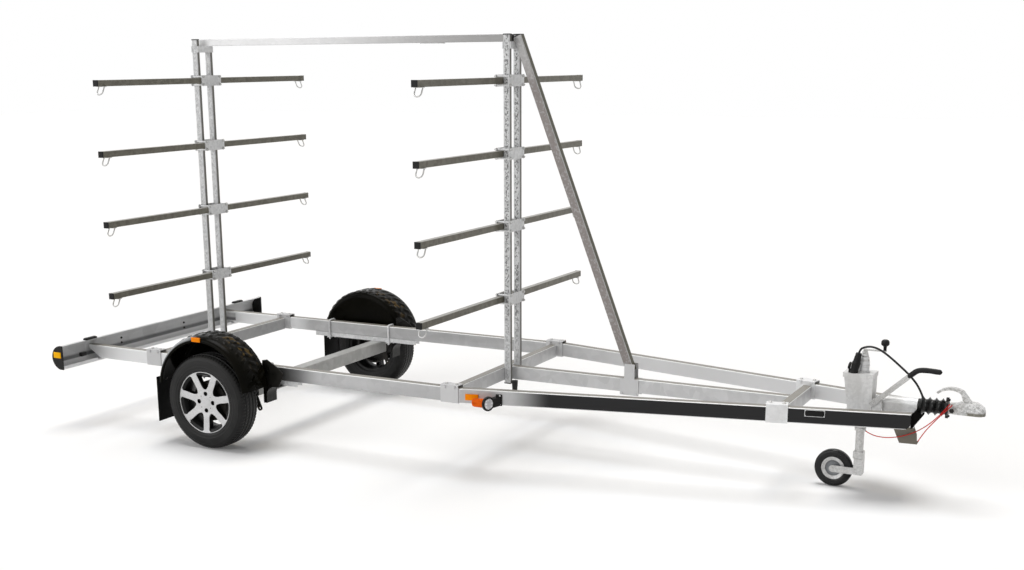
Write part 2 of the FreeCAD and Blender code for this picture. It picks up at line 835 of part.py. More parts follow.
def rimWindow():
    # Opening between two spokes, narrow and round at the hub and wide at the rim, about the X axis
    reach = rimSeatRadius - rimBarrelWall - windowEdge
    deep = rimOuterY - 2 * hubFaceInset - spokeDepth
    outerX = math.sqrt(reach ** 2 - windowOuterHalf ** 2)
    a = Vector(windowInnerRadius, deep, -windowInnerHalf)
    b = Vector(outerX, deep, -windowOuterHalf)
    c = Vector(outerX, deep, windowOuterHalf)
    d = Vector(windowInnerRadius, deep, windowInnerHalf)
    crown = Part.Arc(b, Vector(reach, deep, 0), c).toShape()
    prism = Part.Face(Part.Wire([Part.makeLine(a, b), crown, Part.makeLine(c, d), Part.makeLine(d, a)]))
    prism = prism.extrude(Vector(0, rimOuterY - deep, 0))
    across = [e for e in prism.Edges if abs(e.Vertexes[0].Y - e.Vertexes[1].Y) > spokeDepth]
    outer = [e for e in across if e.Vertexes[0].X > windowInnerRadius + 1]
    prism = prism.makeFillet(windowOuterCorner, outer)
    across = [e for e in prism.Edges if abs(e.Vertexes[0].Y - e.Vertexes[1].Y) > spokeDepth]
    inner = [e for e in across if e.Vertexes[0].X < windowInnerRadius + 1]
    return prism.makeFillet(windowInnerCorner, inner)


def rim():
    # Barrel and a dished disc, which the windows cut into spokes; one spoke points straight down
    centre = Vector(0, 0, wheelRadius)
    edge = rimSeatRadius - rimBarrelWall / 2.0
    tip = rimOuterY - spokeTipInset
    hub = rimOuterY - hubFaceInset
    back = hub - spokeDepth
    disc = revolveAboutWheel([(0, hub), (hubPadRadius, hub), (edge, tip), (edge, back), (hubPadRadius, back),
                              (hubPadRadius, hubFaceY), (0, hubFaceY)])
    window = rimWindow()
    for i in range(spokeCount):
        one = window.copy()
        one.rotate(Vector(0, 0, 0), Vector(0, 1, 0), 90 + 360.0 * (i + 0.5) / spokeCount)
        one.translate(centre)
        disc = disc.cut(one)
    solid = rimBarrel().fuse(disc)
    cover = hub - hubBoreCover
    bore = cylinder(hubBoreRadius, centre.add(Vector(0, hubFaceY - 1, 0)), centre.add(Vector(0, cover, 0)))
    solid = solid.cut(bore)
    for i in range(lugCount):
        a = math.radians(360.0 * i / lugCount)
        p = centre.add(Vector(lugCircleRadius * math.cos(a), 0, lugCircleRadius * math.sin(a)))
        hole = cylinder(lugHoleRadius, p.add(Vector(0, hubFaceY - 1, 0)), p.add(Vector(0, hub + 1, 0)))
        solid = solid.cut(hole)
    return solid


def drum():
    y1 = hubFaceY
    y0 = y1 - drumWidth
    points = [(spindleRadius + 0.05, y1), (drumRadius, y1), (drumRadius, y0), (drumRadius - 12, y0),
              (drumRadius - 12, y1 - 14), (spindleRadius + 0.05, y1 - 14)]
    return revolveAboutWheel(points)


# Mudguards
def guardBody(radius, shoulder, crown, y0, y1, mouthY):
    # Solid of revolution about the mudguard's axis, its edges turned in two steps, above its ends' level
    k = 1.0 - math.sqrt(0.5)
    mouth = guardRadius - guardLip
    profile = [(0, y0), (radius - shoulder, y0), (radius - shoulder * k, y0 + shoulder * k),
               (radius, y0 + shoulder), (radius, y1 - crown), (radius - crown * k, y1 - crown * k),
               (radius - crown, y1), (mouth, y1), (mouth, mouthY), (0, mouthY)]
    if mouthY == y1:
        profile.remove((mouth, y1))
    face = polygonFace([Vector(r, y, 0) for r, y in profile])
    solid = face.revolve(Vector(0, 0, 0), Vector(0, 1, 0), 360)
    solid.rotate(Vector(0, 0, 0), Vector(0, 1, 0), 90)
    solid.translate(Vector(guardCentreX, 0, guardCentreZ))
    return solid.cut(box(guardCentreX - guardRadius - 1, guardCentreX + guardRadius + 1, y0 - 1, mouthY + 1,
                         guardCentreZ - guardRadius - 1, guardRearZ))


def mudguard():
    # Left mudguard: a crowned shell with a wall on the trailer's side and a rolled lip round its mouth
    t = guardSheet
    outer = guardBody(guardRadius, guardShoulder, guardRound, guardInnerY, guardOuterY, guardOuterY)
    inner = guardBody(guardRadius - t, guardShoulder - t, guardRound - t, guardInnerY + t, guardOuterY - t,
                      guardOuterY + 1)
    return outer.cut(inner)


def mudflap():
    # Rubber flap bolted to the outside of the mudguard's rear end
    reach = math.sqrt(guardRadius ** 2 - (guardRearZ - guardCentreZ) ** 2)
    x = guardCentreX - reach - seatGap - flapThickness
    return box(x, x + flapThickness, guardOuterY - flapWidth, guardOuterY - flapInset, flapBottom, flapTop)


def guardBracket():
    # Gusset against the left mudguard's wall, a shelf to the rail and a curved strap under the axle's mount
    y0 = guardInnerY - bracketSheet
    y1 = guardInnerY
    t = mountSheet
    k = strapBend * (1.0 - math.sqrt(0.5))
    turn = axleTop - strapBend
    flat = strapRearX + strapBend
    face = [Vector(gussetRearX, y0, gussetTop - 7), Vector(gussetRearX + 34, y0, gussetTop),
            Vector(gussetFrontX - 43, y0, gussetTop - 39), Vector(gussetFrontX, y0, gussetTop - 76),
            Vector(gussetFrontX - 8, y0, gussetTop - 102), Vector(strapFrontX, y0, axleTop),
            Vector(flat, y0, axleTop)]
    bend = Part.Arc(Vector(flat, y0, axleTop), Vector(strapRearX + k, y0, axleTop - k),
                    Vector(strapRearX, y0, turn)).toShape()
    tail = [Vector(strapRearX, y0, turn), Vector(strapRearX, y0, gussetLow),
            Vector(gussetRearX, y0, gussetLow), face[0]]
    wire = Part.Wire([Part.makeLine(a, b) for a, b in zip(face, face[1:])] + [bend]
                     + [Part.makeLine(a, b) for a, b in zip(tail, tail[1:])])
    web = Part.Face(wire).extrude(Vector(0, y1 - y0, 0))
    inside = k + t * math.sqrt(0.5)
    strap = Part.Face(Part.Wire([
        Part.makeLine(Vector(strapFrontX, y0, axleTop), Vector(flat, y0, axleTop)), bend,
        Part.makeLine(Vector(strapRearX, y0, turn), Vector(strapRearX, y0, gussetLow)),
        Part.makeLine(Vector(strapRearX, y0, gussetLow), Vector(strapRearX + t, y0, gussetLow)),
        Part.makeLine(Vector(strapRearX + t, y0, gussetLow), Vector(strapRearX + t, y0, turn)),
        Part.Arc(Vector(strapRearX + t, y0, turn), Vector(strapRearX + inside, y0, axleTop - inside),
                 Vector(flat, y0, axleTop - t)).toShape(),
        Part.makeLine(Vector(flat, y0, axleTop - t), Vector(strapFrontX, y0, axleTop - t)),
        Part.makeLine(Vector(strapFrontX, y0, axleTop - t), Vector(strapFrontX, y0, axleTop))]))
    strap.translate(Vector(0, bracketSheet, 0))
    strap = strap.extrude(Vector(0, railInnerY + t - y1, 0))
    shelfZ = railBottom + railHeight / 2.0
    shelf = box(gussetRearX + gussetShelfInset, gussetFrontX - gussetShelfInset, railOuterY, y0 + 1,
                shelfZ, shelfZ + bracketSheet)
    return web.fuse([shelf, strap])


def rearStay():
    # Bar from the rail's side that holds the rear of the left mudguard
    return box(rearStayX - rearStayWidth / 2.0, rearStayX + rearStayWidth / 2.0, railOuterY, guardInnerY,
               railBottom + rearStayRise, railBottom + rearStayRise + rearStayThickness)


# Light bar
def barProfile(inset):
    # Section of the tail channel in the XZ plane, flat edges in front and a round back
    top = barTop - inset
    bottom = barBottom + inset
    rear = barRearX + inset
    straight = barFrontX - barFlat
    middle = (top + bottom) / 2.0
    return top, bottom, rear, straight, middle


def barOutline(inset, frontX, y):
    top, bottom, rear, straight, middle = barProfile(inset)
    high = Vector(straight, y, top)
    low = Vector(straight, y, bottom)
    edges = [Part.makeLine(Vector(frontX, y, top), high),
             Part.Arc(high, Vector(rear, y, middle), low).toShape(),
             Part.makeLine(low, Vector(frontX, y, bottom)),
             Part.makeLine(Vector(frontX, y, bottom), Vector(frontX, y, top))]
    return Part.Face(Part.Wire(edges))


def lightBar():
    half = barHalfLength - barCapThickness
    outer = barOutline(0, barFrontX, -half).extrude(Vector(0, 2 * half, 0))
    inner = barOutline(barSheet, barFrontX + 5, -half - 1).extrude(Vector(0, 2 * half + 2, 0))
    bar = outer.cut(inner)
    lip = box(barFrontX - barSheet, barFrontX, -half, half, barBottom, barBottom + barLip)
    bar = bar.fuse(lip)
    for side in (-1, 1):
        y0, y1 = sorted((side * (railInnerY - 3), side * (railOuterY + 3)))
        bar = bar.cut(box(barFrontX - 10, barFrontX + 10, y0, y1, railBottom - 8, barTop - 12))
    shape = barOutline(barSheet / 2.0, barFrontX + 40, 0)
    for side in (-1, 1):
        y0, y1 = sorted((side * (railInnerY - 4), side * railInnerY))
        plate = shape.extrude(Vector(0, 4, 0))
        plate.translate(Vector(0, y0, 0))
        plate = plate.common(box(barRearX - 5, barFrontX + 40, y0 - 1, y1 + 1, railBottom + 14, railTop - 12))
        bar = bar.fuse(plate)
    return bar


def lightBarCaps():
    # End caps, and the plugs of the board's fastenings that stand on the channel's top
    cap = barOutline(-1.0, barFrontX + 2, barHalfLength - barCapThickness)
    cap = cap.extrude(Vector(0, barCapThickness, 0))
    y = barHalfLength - latchInset
    latch = box(barFrontX - latchDepth, barFrontX, y - latchLength, y, barTop, barTop + latchHeight)
    latch = latch.makeChamfer(latchHeight * 0.4, [e for e in latch.Edges
                                                  if all(v.Z > barTop + 1 for v in e.Vertexes)])
    return [cap, mirrorY(cap), latch, mirrorY(latch)]


def barReflectors():
    # Reflectors on the channel's end caps
    middle = (barTop + barBottom) / 2.0 + barReflectorRise
    one = box(barFrontX - barReflectorInset - barReflectorLength, barFrontX - barReflectorInset,
              barHalfLength, barHalfLength + barReflectorDepth,
              middle - barReflectorHeight / 2.0, middle + barReflectorHeight / 2.0)
    return [one, mirrorY(one)]


def sideReflectors():
    made = []
    for side in (-1, 1):
        y0, y1 = sorted((side * guardOuterY, side * (guardOuterY + reflectorDepth)))
        z = guardCentreZ + guardRadius - guardLip
        made.append(box(guardReflectorX - reflectorLength / 2.0, guardReflectorX + reflectorLength / 2.0,
                        y0, y1, z, z + guardReflectorHeight))
        one = box(-reflectorLength / 2, reflectorLength / 2, 0, reflectorDepth, -reflectorHeight / 2,
                  reflectorHeight / 2)
        one.rotate(Vector(0, 0, 0), Vector(0, 0, 1), -drawbarAngle)
        one.translate(Vector(railReflectorX, drawbarY(railReflectorX, 0), railBottom + railReflectorRise))
        made.append(one if side > 0 else mirrorY(one))
    return made


def markerLamps():
    # Forward lamps on short arms that stand out from the drawn-in rails
    made = []
    half = markerHeight / 2.0
    stand = box(-markerStandWidth / 2.0, markerStandWidth / 2.0, 0, markerStandReach, -half / 2.0, half / 2.0)
    body = box(-markerRear, markerFront, markerNear, markerFar, -half, half)
    one = stand.fuse(body)
    one = one.makeChamfer(markerCorner, [e for e in one.Edges if abs(e.Vertexes[0].Y - e.Vertexes[1].Y) > 20
                                         and abs(abs(e.Vertexes[0].Z) - half) < 0.1])
    one.rotate(Vector(0, 0, 0), Vector(0, 0, 1), -drawbarAngle)
    one.translate(Vector(markerX, drawbarY(markerX, 0), railBottom + markerRise))
    made.extend((one, mirrorY(one)))
    return made


def tailLamps():
    # Lamp clusters on the round back of the channel, one near each end
    made = []
    top, bottom, rear, straight, middle = barProfile(0)
    for side in (-1, 1):
        y0, y1 = sorted((side * (barHalfLength - 60), side * (barHalfLength - 60 - lampLength)))
        z0 = middle - lampHeight / 2.0
        block = box(rear + lampInset - lampDepth, rear + 60, y0, y1, z0, z0 + lampHeight)
        channel = barOutline(0, barFrontX, y0 - 1).extrude(Vector(0, lampLength + 2, 0))
        made.append(block.cut(channel).Solids[0])
    return made


# Overrun device
def housing():
    # Tray between the drawbar beams, the sleeve that guides the overrun tube and the hook's plate
    x0 = housingRearX
    x1 = drawbarFrontX
    floor = housingFloorZ
    a = drawbarY(x0, railWidth)
    b = drawbarY(x1, railWidth)
    plan = polygonFace([Vector(x0, -a, 0), Vector(x1, -b, 0), Vector(x1, b, 0), Vector(x0, a, 0)])
    plan.translate(Vector(0, 0, floor))
    tray = plan.extrude(Vector(0, 0, housingSheet))
    tray = tray.cut(cylinder(jockeyTubeRadius + 1.0, Vector(jockeyX, 0, floor - 1),
                             Vector(jockeyX, 0, floor + housingSheet + 1)))
    sleeveFront = Vector(x1 + nosePlateThickness, 0, shaftZ)
    sleeve = cylinder(sleeveRadius, Vector(sleeveRearX, 0, shaftZ), sleeveFront)
    foot = box(sleeveRearX, x1, -sleeveRadius, sleeveRadius, floor, shaftZ)
    span = hookPlateFrontX - hookPlateRearX
    hookPlate = polygonFace([Vector(hookPlateRearX - span * 0.1, hookPlateY, floor + 1),
                             Vector(hookPlateRearX + span * 0.3, hookPlateY, floor - hookPlateDrop),
                             Vector(hookPlateFrontX, hookPlateY, floor - hookPlateDrop * 0.98),
                             Vector(hookPlateFrontX - 4, hookPlateY, floor - hookPlateDrop * 0.5),
                             Vector(x1 - 6, hookPlateY, floor + 1)])
    hookPlate = hookPlate.extrude(Vector(0, hookPlateThickness, 0))
    bore = cylinder(shaftRadius + 0.05, Vector(sleeveRearX - 5, 0, shaftZ), Vector(x1 + 20, 0, shaftZ))
    pivotY = leverY + leverThickness / 2.0
    pivot = box(pivotRearX, pivotFrontX, pivotY, pivotY + pivotThickness, floor, shaftZ + 20)
    hook = cordEye(shortRoute, 16)
    return tray.fuse([sleeve, foot, hookPlate, pivot, hook]).cut(bore)


def nosePlate():
    # Dark plate across the front ends of the drawbar's beams, about the sleeve
    x0 = drawbarFrontX
    x1 = x0 + nosePlateThickness
    plate = box(x0, x1, -drawbarFrontY, drawbarFrontY, railBottom + nosePlateInset, railTop - nosePlateInset)
    plate = plate.makeFillet(nosePlateCorner, [e for e in plate.Edges
                                               if abs(e.Vertexes[0].X - e.Vertexes[1].X) > 1])
    return plate.cut(cylinder(sleeveRadius, Vector(x0 - 1, 0, shaftZ), Vector(x1 + 1, 0, shaftZ)))


def bellows():
    points = [(shaftRadius + 0.3, bellowsRearX), (bellowsWaist, bellowsRearX)]
    pitch = (bellowsFrontX - bellowsRearX) / bellowsFolds
    for i in range(bellowsFolds):
        x = bellowsRearX + i * pitch
        points.append((bellowsRadius, x + pitch * 0.5))
        points.append((bellowsWaist, x + pitch))
    points.append((shaftRadius + 0.3, bellowsFrontX))
    face = polygonFace([Vector(x, 0, shaftZ + r) for r, x in points])
    return face.revolve(Vector(0, 0, shaftZ), Vector(1, 0, 0), 360)


def bellowsCollar():
    # Flange with an ear above and below
    x = bellowsFrontX
    end = x + collarWidth
    ring = cylinder(collarRadius, Vector(x, 0, shaftZ), Vector(end, 0, shaftZ))
    ears = [cylinder(collarEarRadius, Vector(x, 0, shaftZ + way * collarEarReach),
                     Vector(end, 0, shaftZ + way * collarEarReach)) for way in (-1, 1)]
    bore = cylinder(shaftRadius + 0.3, Vector(x - 1, 0, shaftZ), Vector(end + 1, 0, shaftZ))
    return ring.fuse(ears).cut(bore)


def couplingHead():
    # Overrun tube, the socket housing on its end with a bolt across it, and the hollow for the ball
    tube = cylinder(shaftRadius, Vector(shaftRearX, 0, shaftZ), Vector(shaftFrontX, 0, shaftZ))
    x0 = headRearX
    x1 = headFrontX
    half = headWidth / 2.0
    back = headRearWidth / 2.0
    side = polygonFace([Vector(x0, -half, headBottom), Vector(x0, -half, headRearTop),
                        Vector(x0 + 34, -half, headRearTop + 4), Vector(x0 + 60, -half, headTop),
                        Vector(x1 - 48, -half, headTop), Vector(x1 - 8, -half, headTop - headNoseDrop),
                        Vector(x1, -half, headTop - 2 * headNoseDrop), Vector(x1, -half, headBottom)])
    body = side.extrude(Vector(0, headWidth, 0))
    shoulder = x1 - half
    nose = Part.Arc(Vector(shoulder, -half, 0), Vector(x1, 0, 0), Vector(shoulder, half, 0)).toShape()
    plan = [Vector(shoulder, half, 0), Vector(x0 + 50, half, 0), Vector(x0, back, 0), Vector(x0, -back, 0),
            Vector(x0 + 50, -half, 0), Vector(shoulder, -half, 0)]
    plan = Part.Face(Part.Wire([nose] + [Part.makeLine(a, b) for a, b in zip(plan, plan[1:])]))
    plan.translate(Vector(0, 0, headBottom - 1))
    body = body.common(plan.extrude(Vector(0, 0, headTop - headBottom + 2)))
    socket = Part.makeSphere(ballSocketRadius, Vector(ballX, 0, ballZ))
    mouth = cylinder(ballSocketRadius, Vector(ballX, 0, headBottom - 5), Vector(ballX, 0, ballZ))
    eye = cylinder(eyeRadius, Vector(headEye.x, -back + 3, headRearTop - 4), headEye)
    boltX = x0 + 22
    reach = back + headBoltStand
    bolt = hexPrism(headBoltRadius, Vector(boltX, -reach, shaftZ), Vector(boltX, reach, shaftZ))
    return body.fuse([tube, eye, bolt]).cut(socket.fuse(mouth))


def couplingHandle():
    # Curved release handle that reaches back over the bellows from its foot on the head
    y = handleHalfWidth
    t = handleThickness
    tip = Vector(headRearX - handleReach, -y, headTop + handleRise - 30)
    crest = Vector(headRearX, -y, headTop + handleRise)
    shoulder = Vector(headRearX + 68, -y, headTop + handleRise - 15)
    foot = Vector(headRearX + 110, -y, headTop)
    heel = foot.add(Vector(-42, 0, 0))
    under = shoulder.add(Vector(-14, 0, -t))
    below = tip.add(Vector(8, 0, -t * 0.6))
    edges = [Part.Arc(tip, crest, shoulder).toShape(), Part.makeLine(shoulder, foot),
             Part.makeLine(foot, heel), Part.makeLine(heel, under),
             Part.Arc(under, crest.add(Vector(0, 0, -t)), below).toShape(), Part.makeLine(below, tip)]
    return Part.Face(Part.Wire(edges)).extrude(Vector(0, 2 * y, 0))


leverFoot = Vector(3596, leverY, 470)
leverBend = Vector(3782, leverY, 644)
gripRise = leverBend.add(leverBend.sub(leverFoot).normalize().multiply(46))
gripEnd = gripRise.add(Vector(gripLength, 0, 0))


def handbrake():
    # Flat steel lever
    return tubeAlong(leverFoot, leverBend, leverThickness, leverDepth, 0, 1.0, outline=rectangleOutline)


def handbrakeGrip():
    first = tubeAlong(leverBend, gripRise, 2 * gripRadius - 4, 2 * gripRadius, 0, gripCorner)
    second = tubeAlong(gripRise.add(Vector(-8, 0, 0)), gripEnd, 2 * gripRadius - 4, 2 * gripRadius, 0,
                       gripCorner)
    return first.fuse(second)


# Jockey wheel
def jockeyTower():
    # Tapered box that carries the jockey tube above the drawbar
    z0 = housingFloorZ + housingSheet
    low = polygonWire(towerRearLow, towerFront, towerHalfLow, z0)
    high = polygonWire(towerRearHigh, towerFront, towerHalfHigh, towerTop)
    solid = Part.makeLoft([low, high], True)
    rimBlock = box(towerRearHigh - towerRimStand, towerFront + towerRimStand, -towerHalfHigh - towerRimStand,
                   towerHalfHigh + towerRimStand, towerTop - towerRim, towerTop)
    solid = solid.fuse(rimBlock)
    bore = cylinder(jockeyTubeRadius + 0.05, Vector(jockeyX, 0, z0 - 5), Vector(jockeyX, 0, towerTop + 5))
    return solid.cut(bore)


def polygonWire(x0, x1, halfY, z):
    return Part.makePolygon([Vector(x0, -halfY, z), Vector(x1, -halfY, z), Vector(x1, halfY, z),
                             Vector(x0, halfY, z), Vector(x0, -halfY, z)])


def jockeyTube():
    foot = Vector(jockeyX, 0, jockeyTubeBottom)
    outer = cylinder(jockeyTubeRadius, foot, Vector(jockeyX, 0, jockeyTubeTop))
    cone = Part.makeCone(jockeyTubeRadius, 12.0, crankZ - jockeyTubeTop, Vector(jockeyX, 0, jockeyTubeTop),
                         Vector(0, 0, 1))
    collar = cylinder(jockeyCollarRadius, Vector(jockeyX, 0, jockeyTubeBottom),
                      Vector(jockeyX, 0, jockeyTubeBottom + jockeyCollarHeight))
    bore = cylinder(jockeyLegRadius + jockeyFit, Vector(jockeyX, 0, jockeyTubeBottom - 1),
                    Vector(jockeyX, 0, jockeyTubeTop - 12))
    eye = cordEye(longRoute, 36)
    return outer.fuse([cone, collar, eye]).cut(bore)


def jockeyLeg():
    return cylinder(jockeyLegRadius, Vector(jockeyX, 0, jockeyLegBottom), Vector(jockeyX, 0, jockeyLegTop))


def jockeyFork():
    # Swivel cap under the leg with two cheeks that trail back to the wheel's axle
    axleX = jockeyX - jockeyWheelTrail
    z = jockeyWheelRadius
    half = jockeyWheelWidth / 2.0 + forkGap
    side = forkCapHalf
    outer = half + forkSheet
    low = z - forkHeight / 2.0
    cap = box(jockeyX - side, jockeyX + side, -side, side, forkCapBottom, forkCapTop)
    column = box(jockeyX - forkWheelSide, jockeyX + side, -outer, outer, low, forkCapBottom)
    cheeks = []
    for way in (-1, 1):
        y0, y1 = sorted((way * half, way * outer))
        bar = box(axleX, jockeyX, y0, y1, low, z + forkHeight / 2.0)
        boss = cylinder(forkHeight / 2.0, Vector(axleX, y0, z), Vector(axleX, y1, z))
        cheeks.append(bar.fuse(boss))
    pin = cylinder(jockeyAxleRadius, Vector(axleX, -outer - 6, z), Vector(axleX, outer + 6, z))
    seat = cylinder(jockeyLegRadius + jockeyFit, Vector(jockeyX, 0, jockeyLegBottom - 0.1),
                    Vector(jockeyX, 0, forkCapTop + 1))
    return cap.fuse(cheeks + [column, pin]).cut(seat)


def jockeyTyre():
    c = Vector(jockeyX - jockeyWheelTrail, 0, jockeyWheelRadius)
    w = jockeyWheelWidth / 2.0
    r = jockeyWheelRadius
    s = r - jockeyTyreSection - 8
    return revolveAboutWheel([(s, -w + 5), (s + 12, -w), (r - 9, -w), (r, -w + 11), (r, w - 11),
                              (r - 9, w), (s + 12, w), (s, w - 5)], c, seam=100.0)


def jockeyRim():
    c = Vector(jockeyX - jockeyWheelTrail, 0, jockeyWheelRadius)
    w = jockeyWheelWidth / 2.0
    s = jockeyWheelRadius - jockeyTyreSection - 8
    bore = jockeyAxleRadius + 0.05
    return revolveAboutWheel([(bore, -w), (20, -w), (22, -6), (s - 8, -6), (s, -w + 5), (s, w - 5),
                              (s - 8, 6), (22, 6), (20, w), (bore, w)], c)


crankZ = jockeyTubeTop + 48.0
crankReach = 98.0
knobRadius = 21.0
knobHeight = 58.0


def crank():
    hub = cylinder(9, Vector(jockeyX, 0, crankZ), Vector(jockeyX, 0, crankZ + 10))
    bar = box(jockeyX, jockeyX + crankReach + 8, -8, 8, crankZ + 3, crankZ + 9)
    return hub.fuse(bar)


def crankKnob():
    # Turned knob: a stem that widens into a mushroom head
    z = crankZ + 9
    x = jockeyX + crankReach
    profile = [(0, 0), (8, 0), (8, 22), (knobRadius, 29), (knobRadius, 49), (0, knobHeight)]
    face = polygonFace([Vector(x + r, 0, z + h) for r, h in profile])
    return face.revolve(Vector(x, 0, z), Vector(0, 0, 1), 360)


# Plug and cords
plugBase = Vector(plugX, plugY, towerTop)
plugLean = Vector(math.sin(math.radians(plugLeanAngle)), 0, math.cos(math.radians(plugLeanAngle)))
plugExit = plugBase.add(Vector(plugLean).multiply(plugHeight + plugNeckHeight))
glandRoot = Vector(3850, -27, 521)
leadApproach = Vector(3824, -40, 588)
glandMouth = glandRoot.add(leadApproach.sub(glandRoot).normalize().multiply(glandLength))
leadRoute = [plugExit, plugExit.add(Vector(plugLean).multiply(32)), Vector(3550, -46, 783),
             Vector(3583, -45, 788), Vector(3622, -44, 775), Vector(3672, -44, 739), Vector(3724, -45, 693),
             Vector(3778, -45, 642), leadApproach, glandMouth]
collarEye = Vector(jockeyX + 38, -40, jockeyTubeBottom + 8)
headEye = Vector(3988, -50, 524)
hookEye = Vector(3842, -58, 310)
longRoute = [collarEye, Vector(3608, -62, 317), Vector(3664, -66, 310), Vector(3722, -72, 318),
             Vector(3780, -74, 336), Vector(3836, -72, 364), Vector(3886, -68, 402), Vector(3930, -62, 448),
             Vector(3964, -54, 492), headEye.add(Vector(-6, -2, -6))]
shortRoute = [hookEye, Vector(3856, -64, 336), Vector(3878, -66, 374), Vector(3910, -64, 416),
              Vector(3944, -60, 458), headEye.add(Vector(6, -2, -10))]


def cordEye(route, length):
    # Short round lug in line with a cord's first run, which it meets face to face
    first = route[1].sub(route[0]).normalize()
    return cylinder(eyeRadius, route[0].sub(first.multiply(length)), route[0])


def cordPath(points):
    # Straight runs joined by tangent arcs, each as large as its two runs allow
    runs = [points[i + 1].sub(points[i]) for i in range(len(points) - 1)]
    edges = []
    radii = []
    last = points[0]
    for i in range(1, len(points) - 1):
        a = Vector(runs[i - 1]).normalize()
        b = Vector(runs[i]).normalize()
        turn = a.getAngle(b)
        reach = 0.45 * min(runs[i - 1].Length, runs[i].Length)
        radius = reach / math.tan(turn / 2.0)
        start = points[i].sub(Vector(a).multiply(reach))
        finish = points[i].add(Vector(b).multiply(reach))
        inward = Vector(b).sub(a).normalize()
        centre = points[i].add(Vector(inward).multiply(radius / math.cos(turn / 2.0)))
        middle = centre.sub(Vector(inward).multiply(radius))
        edges.append(Part.makeLine(last, start))
        edges.append(Part.Arc(start, middle, finish).toShape())
        radii.append(radius)
        last = finish
    edges.append(Part.makeLine(last, points[-1]))
    return Part.Wire(edges), radii


def cord(name, points, diameter):
    path, radii = cordPath(points)
    ring = Part.Wire([Part.makeCircle(diameter / 2.0, points[0], points[1].sub(points[0]))])
    tube = path.makePipeShell([ring], True, False)
    expected = path.Length * math.pi * diameter ** 2 / 4.0
    share = tube.Volume / expected
    bends = [round(r) for r in radii]
    print("%s: length %.0f, radii %s, volume share %.4f" % (name, path.Length, bends, share))
    return tube


def plug():
    # Round plug parked on the jockey housing, leaning forward, with its cap's hinge at the rear
    flange = plugBase.add(Vector(plugLean).multiply(plugHeight))
    body = cylinder(plugRadius, plugBase.sub(Vector(plugLean).multiply(20)), flange)
    neck = Part.makeCone(plugRadius - 4, plugNeckRadius, plugNeckHeight, flange, plugLean)
    half = plugHingeHalf
    hinge = box(plugX - plugRadius - 8, plugX - plugRadius + 6, plugY - half, plugY + half,
                towerTop, towerTop + plugHingeHeight)
    whole = body.fuse([neck, hinge])
    return whole.cut(box(plugX - 80, plugX + 80, plugY - 80, plugY + 80, towerTop - 60, towerTop))


def compoundOf(shapes):
    return Part.makeCompound(shapes) if isinstance(shapes, (list, tuple)) else shapes


def save(name, shapes):
    shape = compoundOf(shapes).copy()
    shape.translate(Vector(originShift, 0, 0))
    sound = shape.Solids and all(solid.isValid() for solid in shape.Solids)
    print("%-22s solids %2d  volume %8.0f cm3%s" % (name, len(shape.Solids), shape.Volume / 1000.0,
                                                    "" if sound else "  INVALID"))
    shape.exportStep("parts/%s.step" % name)


def main():
    os.makedirs("parts", exist_ok=True)
    rail = sideRail()
    save("side_rail_left", rail)
    save("side_rail_right", mirrorY(rail))
    save("crossbeam_front", crossMember(crossFrontX, crossBottom))
    save("crossbeam_rear", crossMember(crossRearX, crossBottom))
    save("crossbeam_drawbar", drawbarCross())
    save("centre_beam", centreBeam())
    save("rail_clamps", railClamps())
    save("posts_front", posts(postFrontX, postFrontBottom))
    save("posts_rear", posts(postRearX, postFrontBottom))
    save("end_caps", postCaps() + armCaps() + [strutCap()])
    save("arms_front", [arm(armFrontX, level) for level in armLevels])
    save("arms_rear", [arm(armRearX, level) for level in armLevels])
    save("lashing_loops_front", lashingLoops(armFrontX))
    save("lashing_loops_rear", lashingLoops(armRearX))
    save("rack_clamps_front", rackClamps(postFrontX, armFrontX))
    save("rack_clamps_rear", rackClamps(postRearX, armRearX))
    save("top_bar", topBar())
    save("top_plates", topPlates())
    save("strut", strut())
    save("strut_foot", strutFoot())
    save("axle_beam", axleBeam())
    save("axle_mounts", axleMounts())
    save("u_bolts", uBolts())
    left = swingArm()
    save("swing_arms", [left, mirrorY(left)])
    for side, flip in (("left", False), ("right", True)):
        for name, maker in (("tyre", tyre), ("rim", rim), ("brake_drum", drum), ("mudguard", mudguard)):
            made = maker()
            save("%s_%s" % (name, side), mirrorY(made) if flip else made)
    flap = mudflap()
    save("mudflaps", [flap, mirrorY(flap)])
    gusset = guardBracket()
    stay = rearStay()
    save("mudguard_brackets", [gusset, mirrorY(gusset), stay, mirrorY(stay)])
    save("light_bar", lightBar())
    save("light_bar_caps", lightBarCaps())
    save("tail_lamps", tailLamps())
    save("bar_reflectors", barReflectors())
    save("side_reflectors", sideReflectors())
    save("marker_lamps", markerLamps())
    save("overrun_housing", housing())
    save("nose_plate", nosePlate())
    gland = cylinder(glandRadius, glandRoot, glandMouth)
    bore = cylinder(shaftRadius + 0.3, Vector(bellowsRearX, 0, shaftZ), Vector(bellowsFrontX, 0, shaftZ))
    gland = gland.cut(bore)
    save("bellows", bellows().fuse([bellowsCollar(), gland]))
    save("coupling_head", couplingHead())
    save("coupling_handle", couplingHandle())
    save("handbrake_lever", handbrake())
    save("handbrake_grip", handbrakeGrip())
    save("jockey_tower", jockeyTower())
    save("jockey_tube", jockeyTube())
    save("jockey_leg", jockeyLeg())
    save("jockey_fork", jockeyFork())
    save("jockey_tyre", jockeyTyre())
    save("jockey_rim", jockeyRim())
    save("crank", crank())
    save("crank_knob", crankKnob())
    save("plug", plug())
    save("lead_cord", cord("lead_cord", leadRoute, leadDiameter))
    save("breakaway_cord_long", cord("breakaway_cord_long", longRoute, breakawayDiameter))
    save("breakaway_cord_short", cord("breakaway_cord_short", shortRoute, breakawayDiameter))


main()
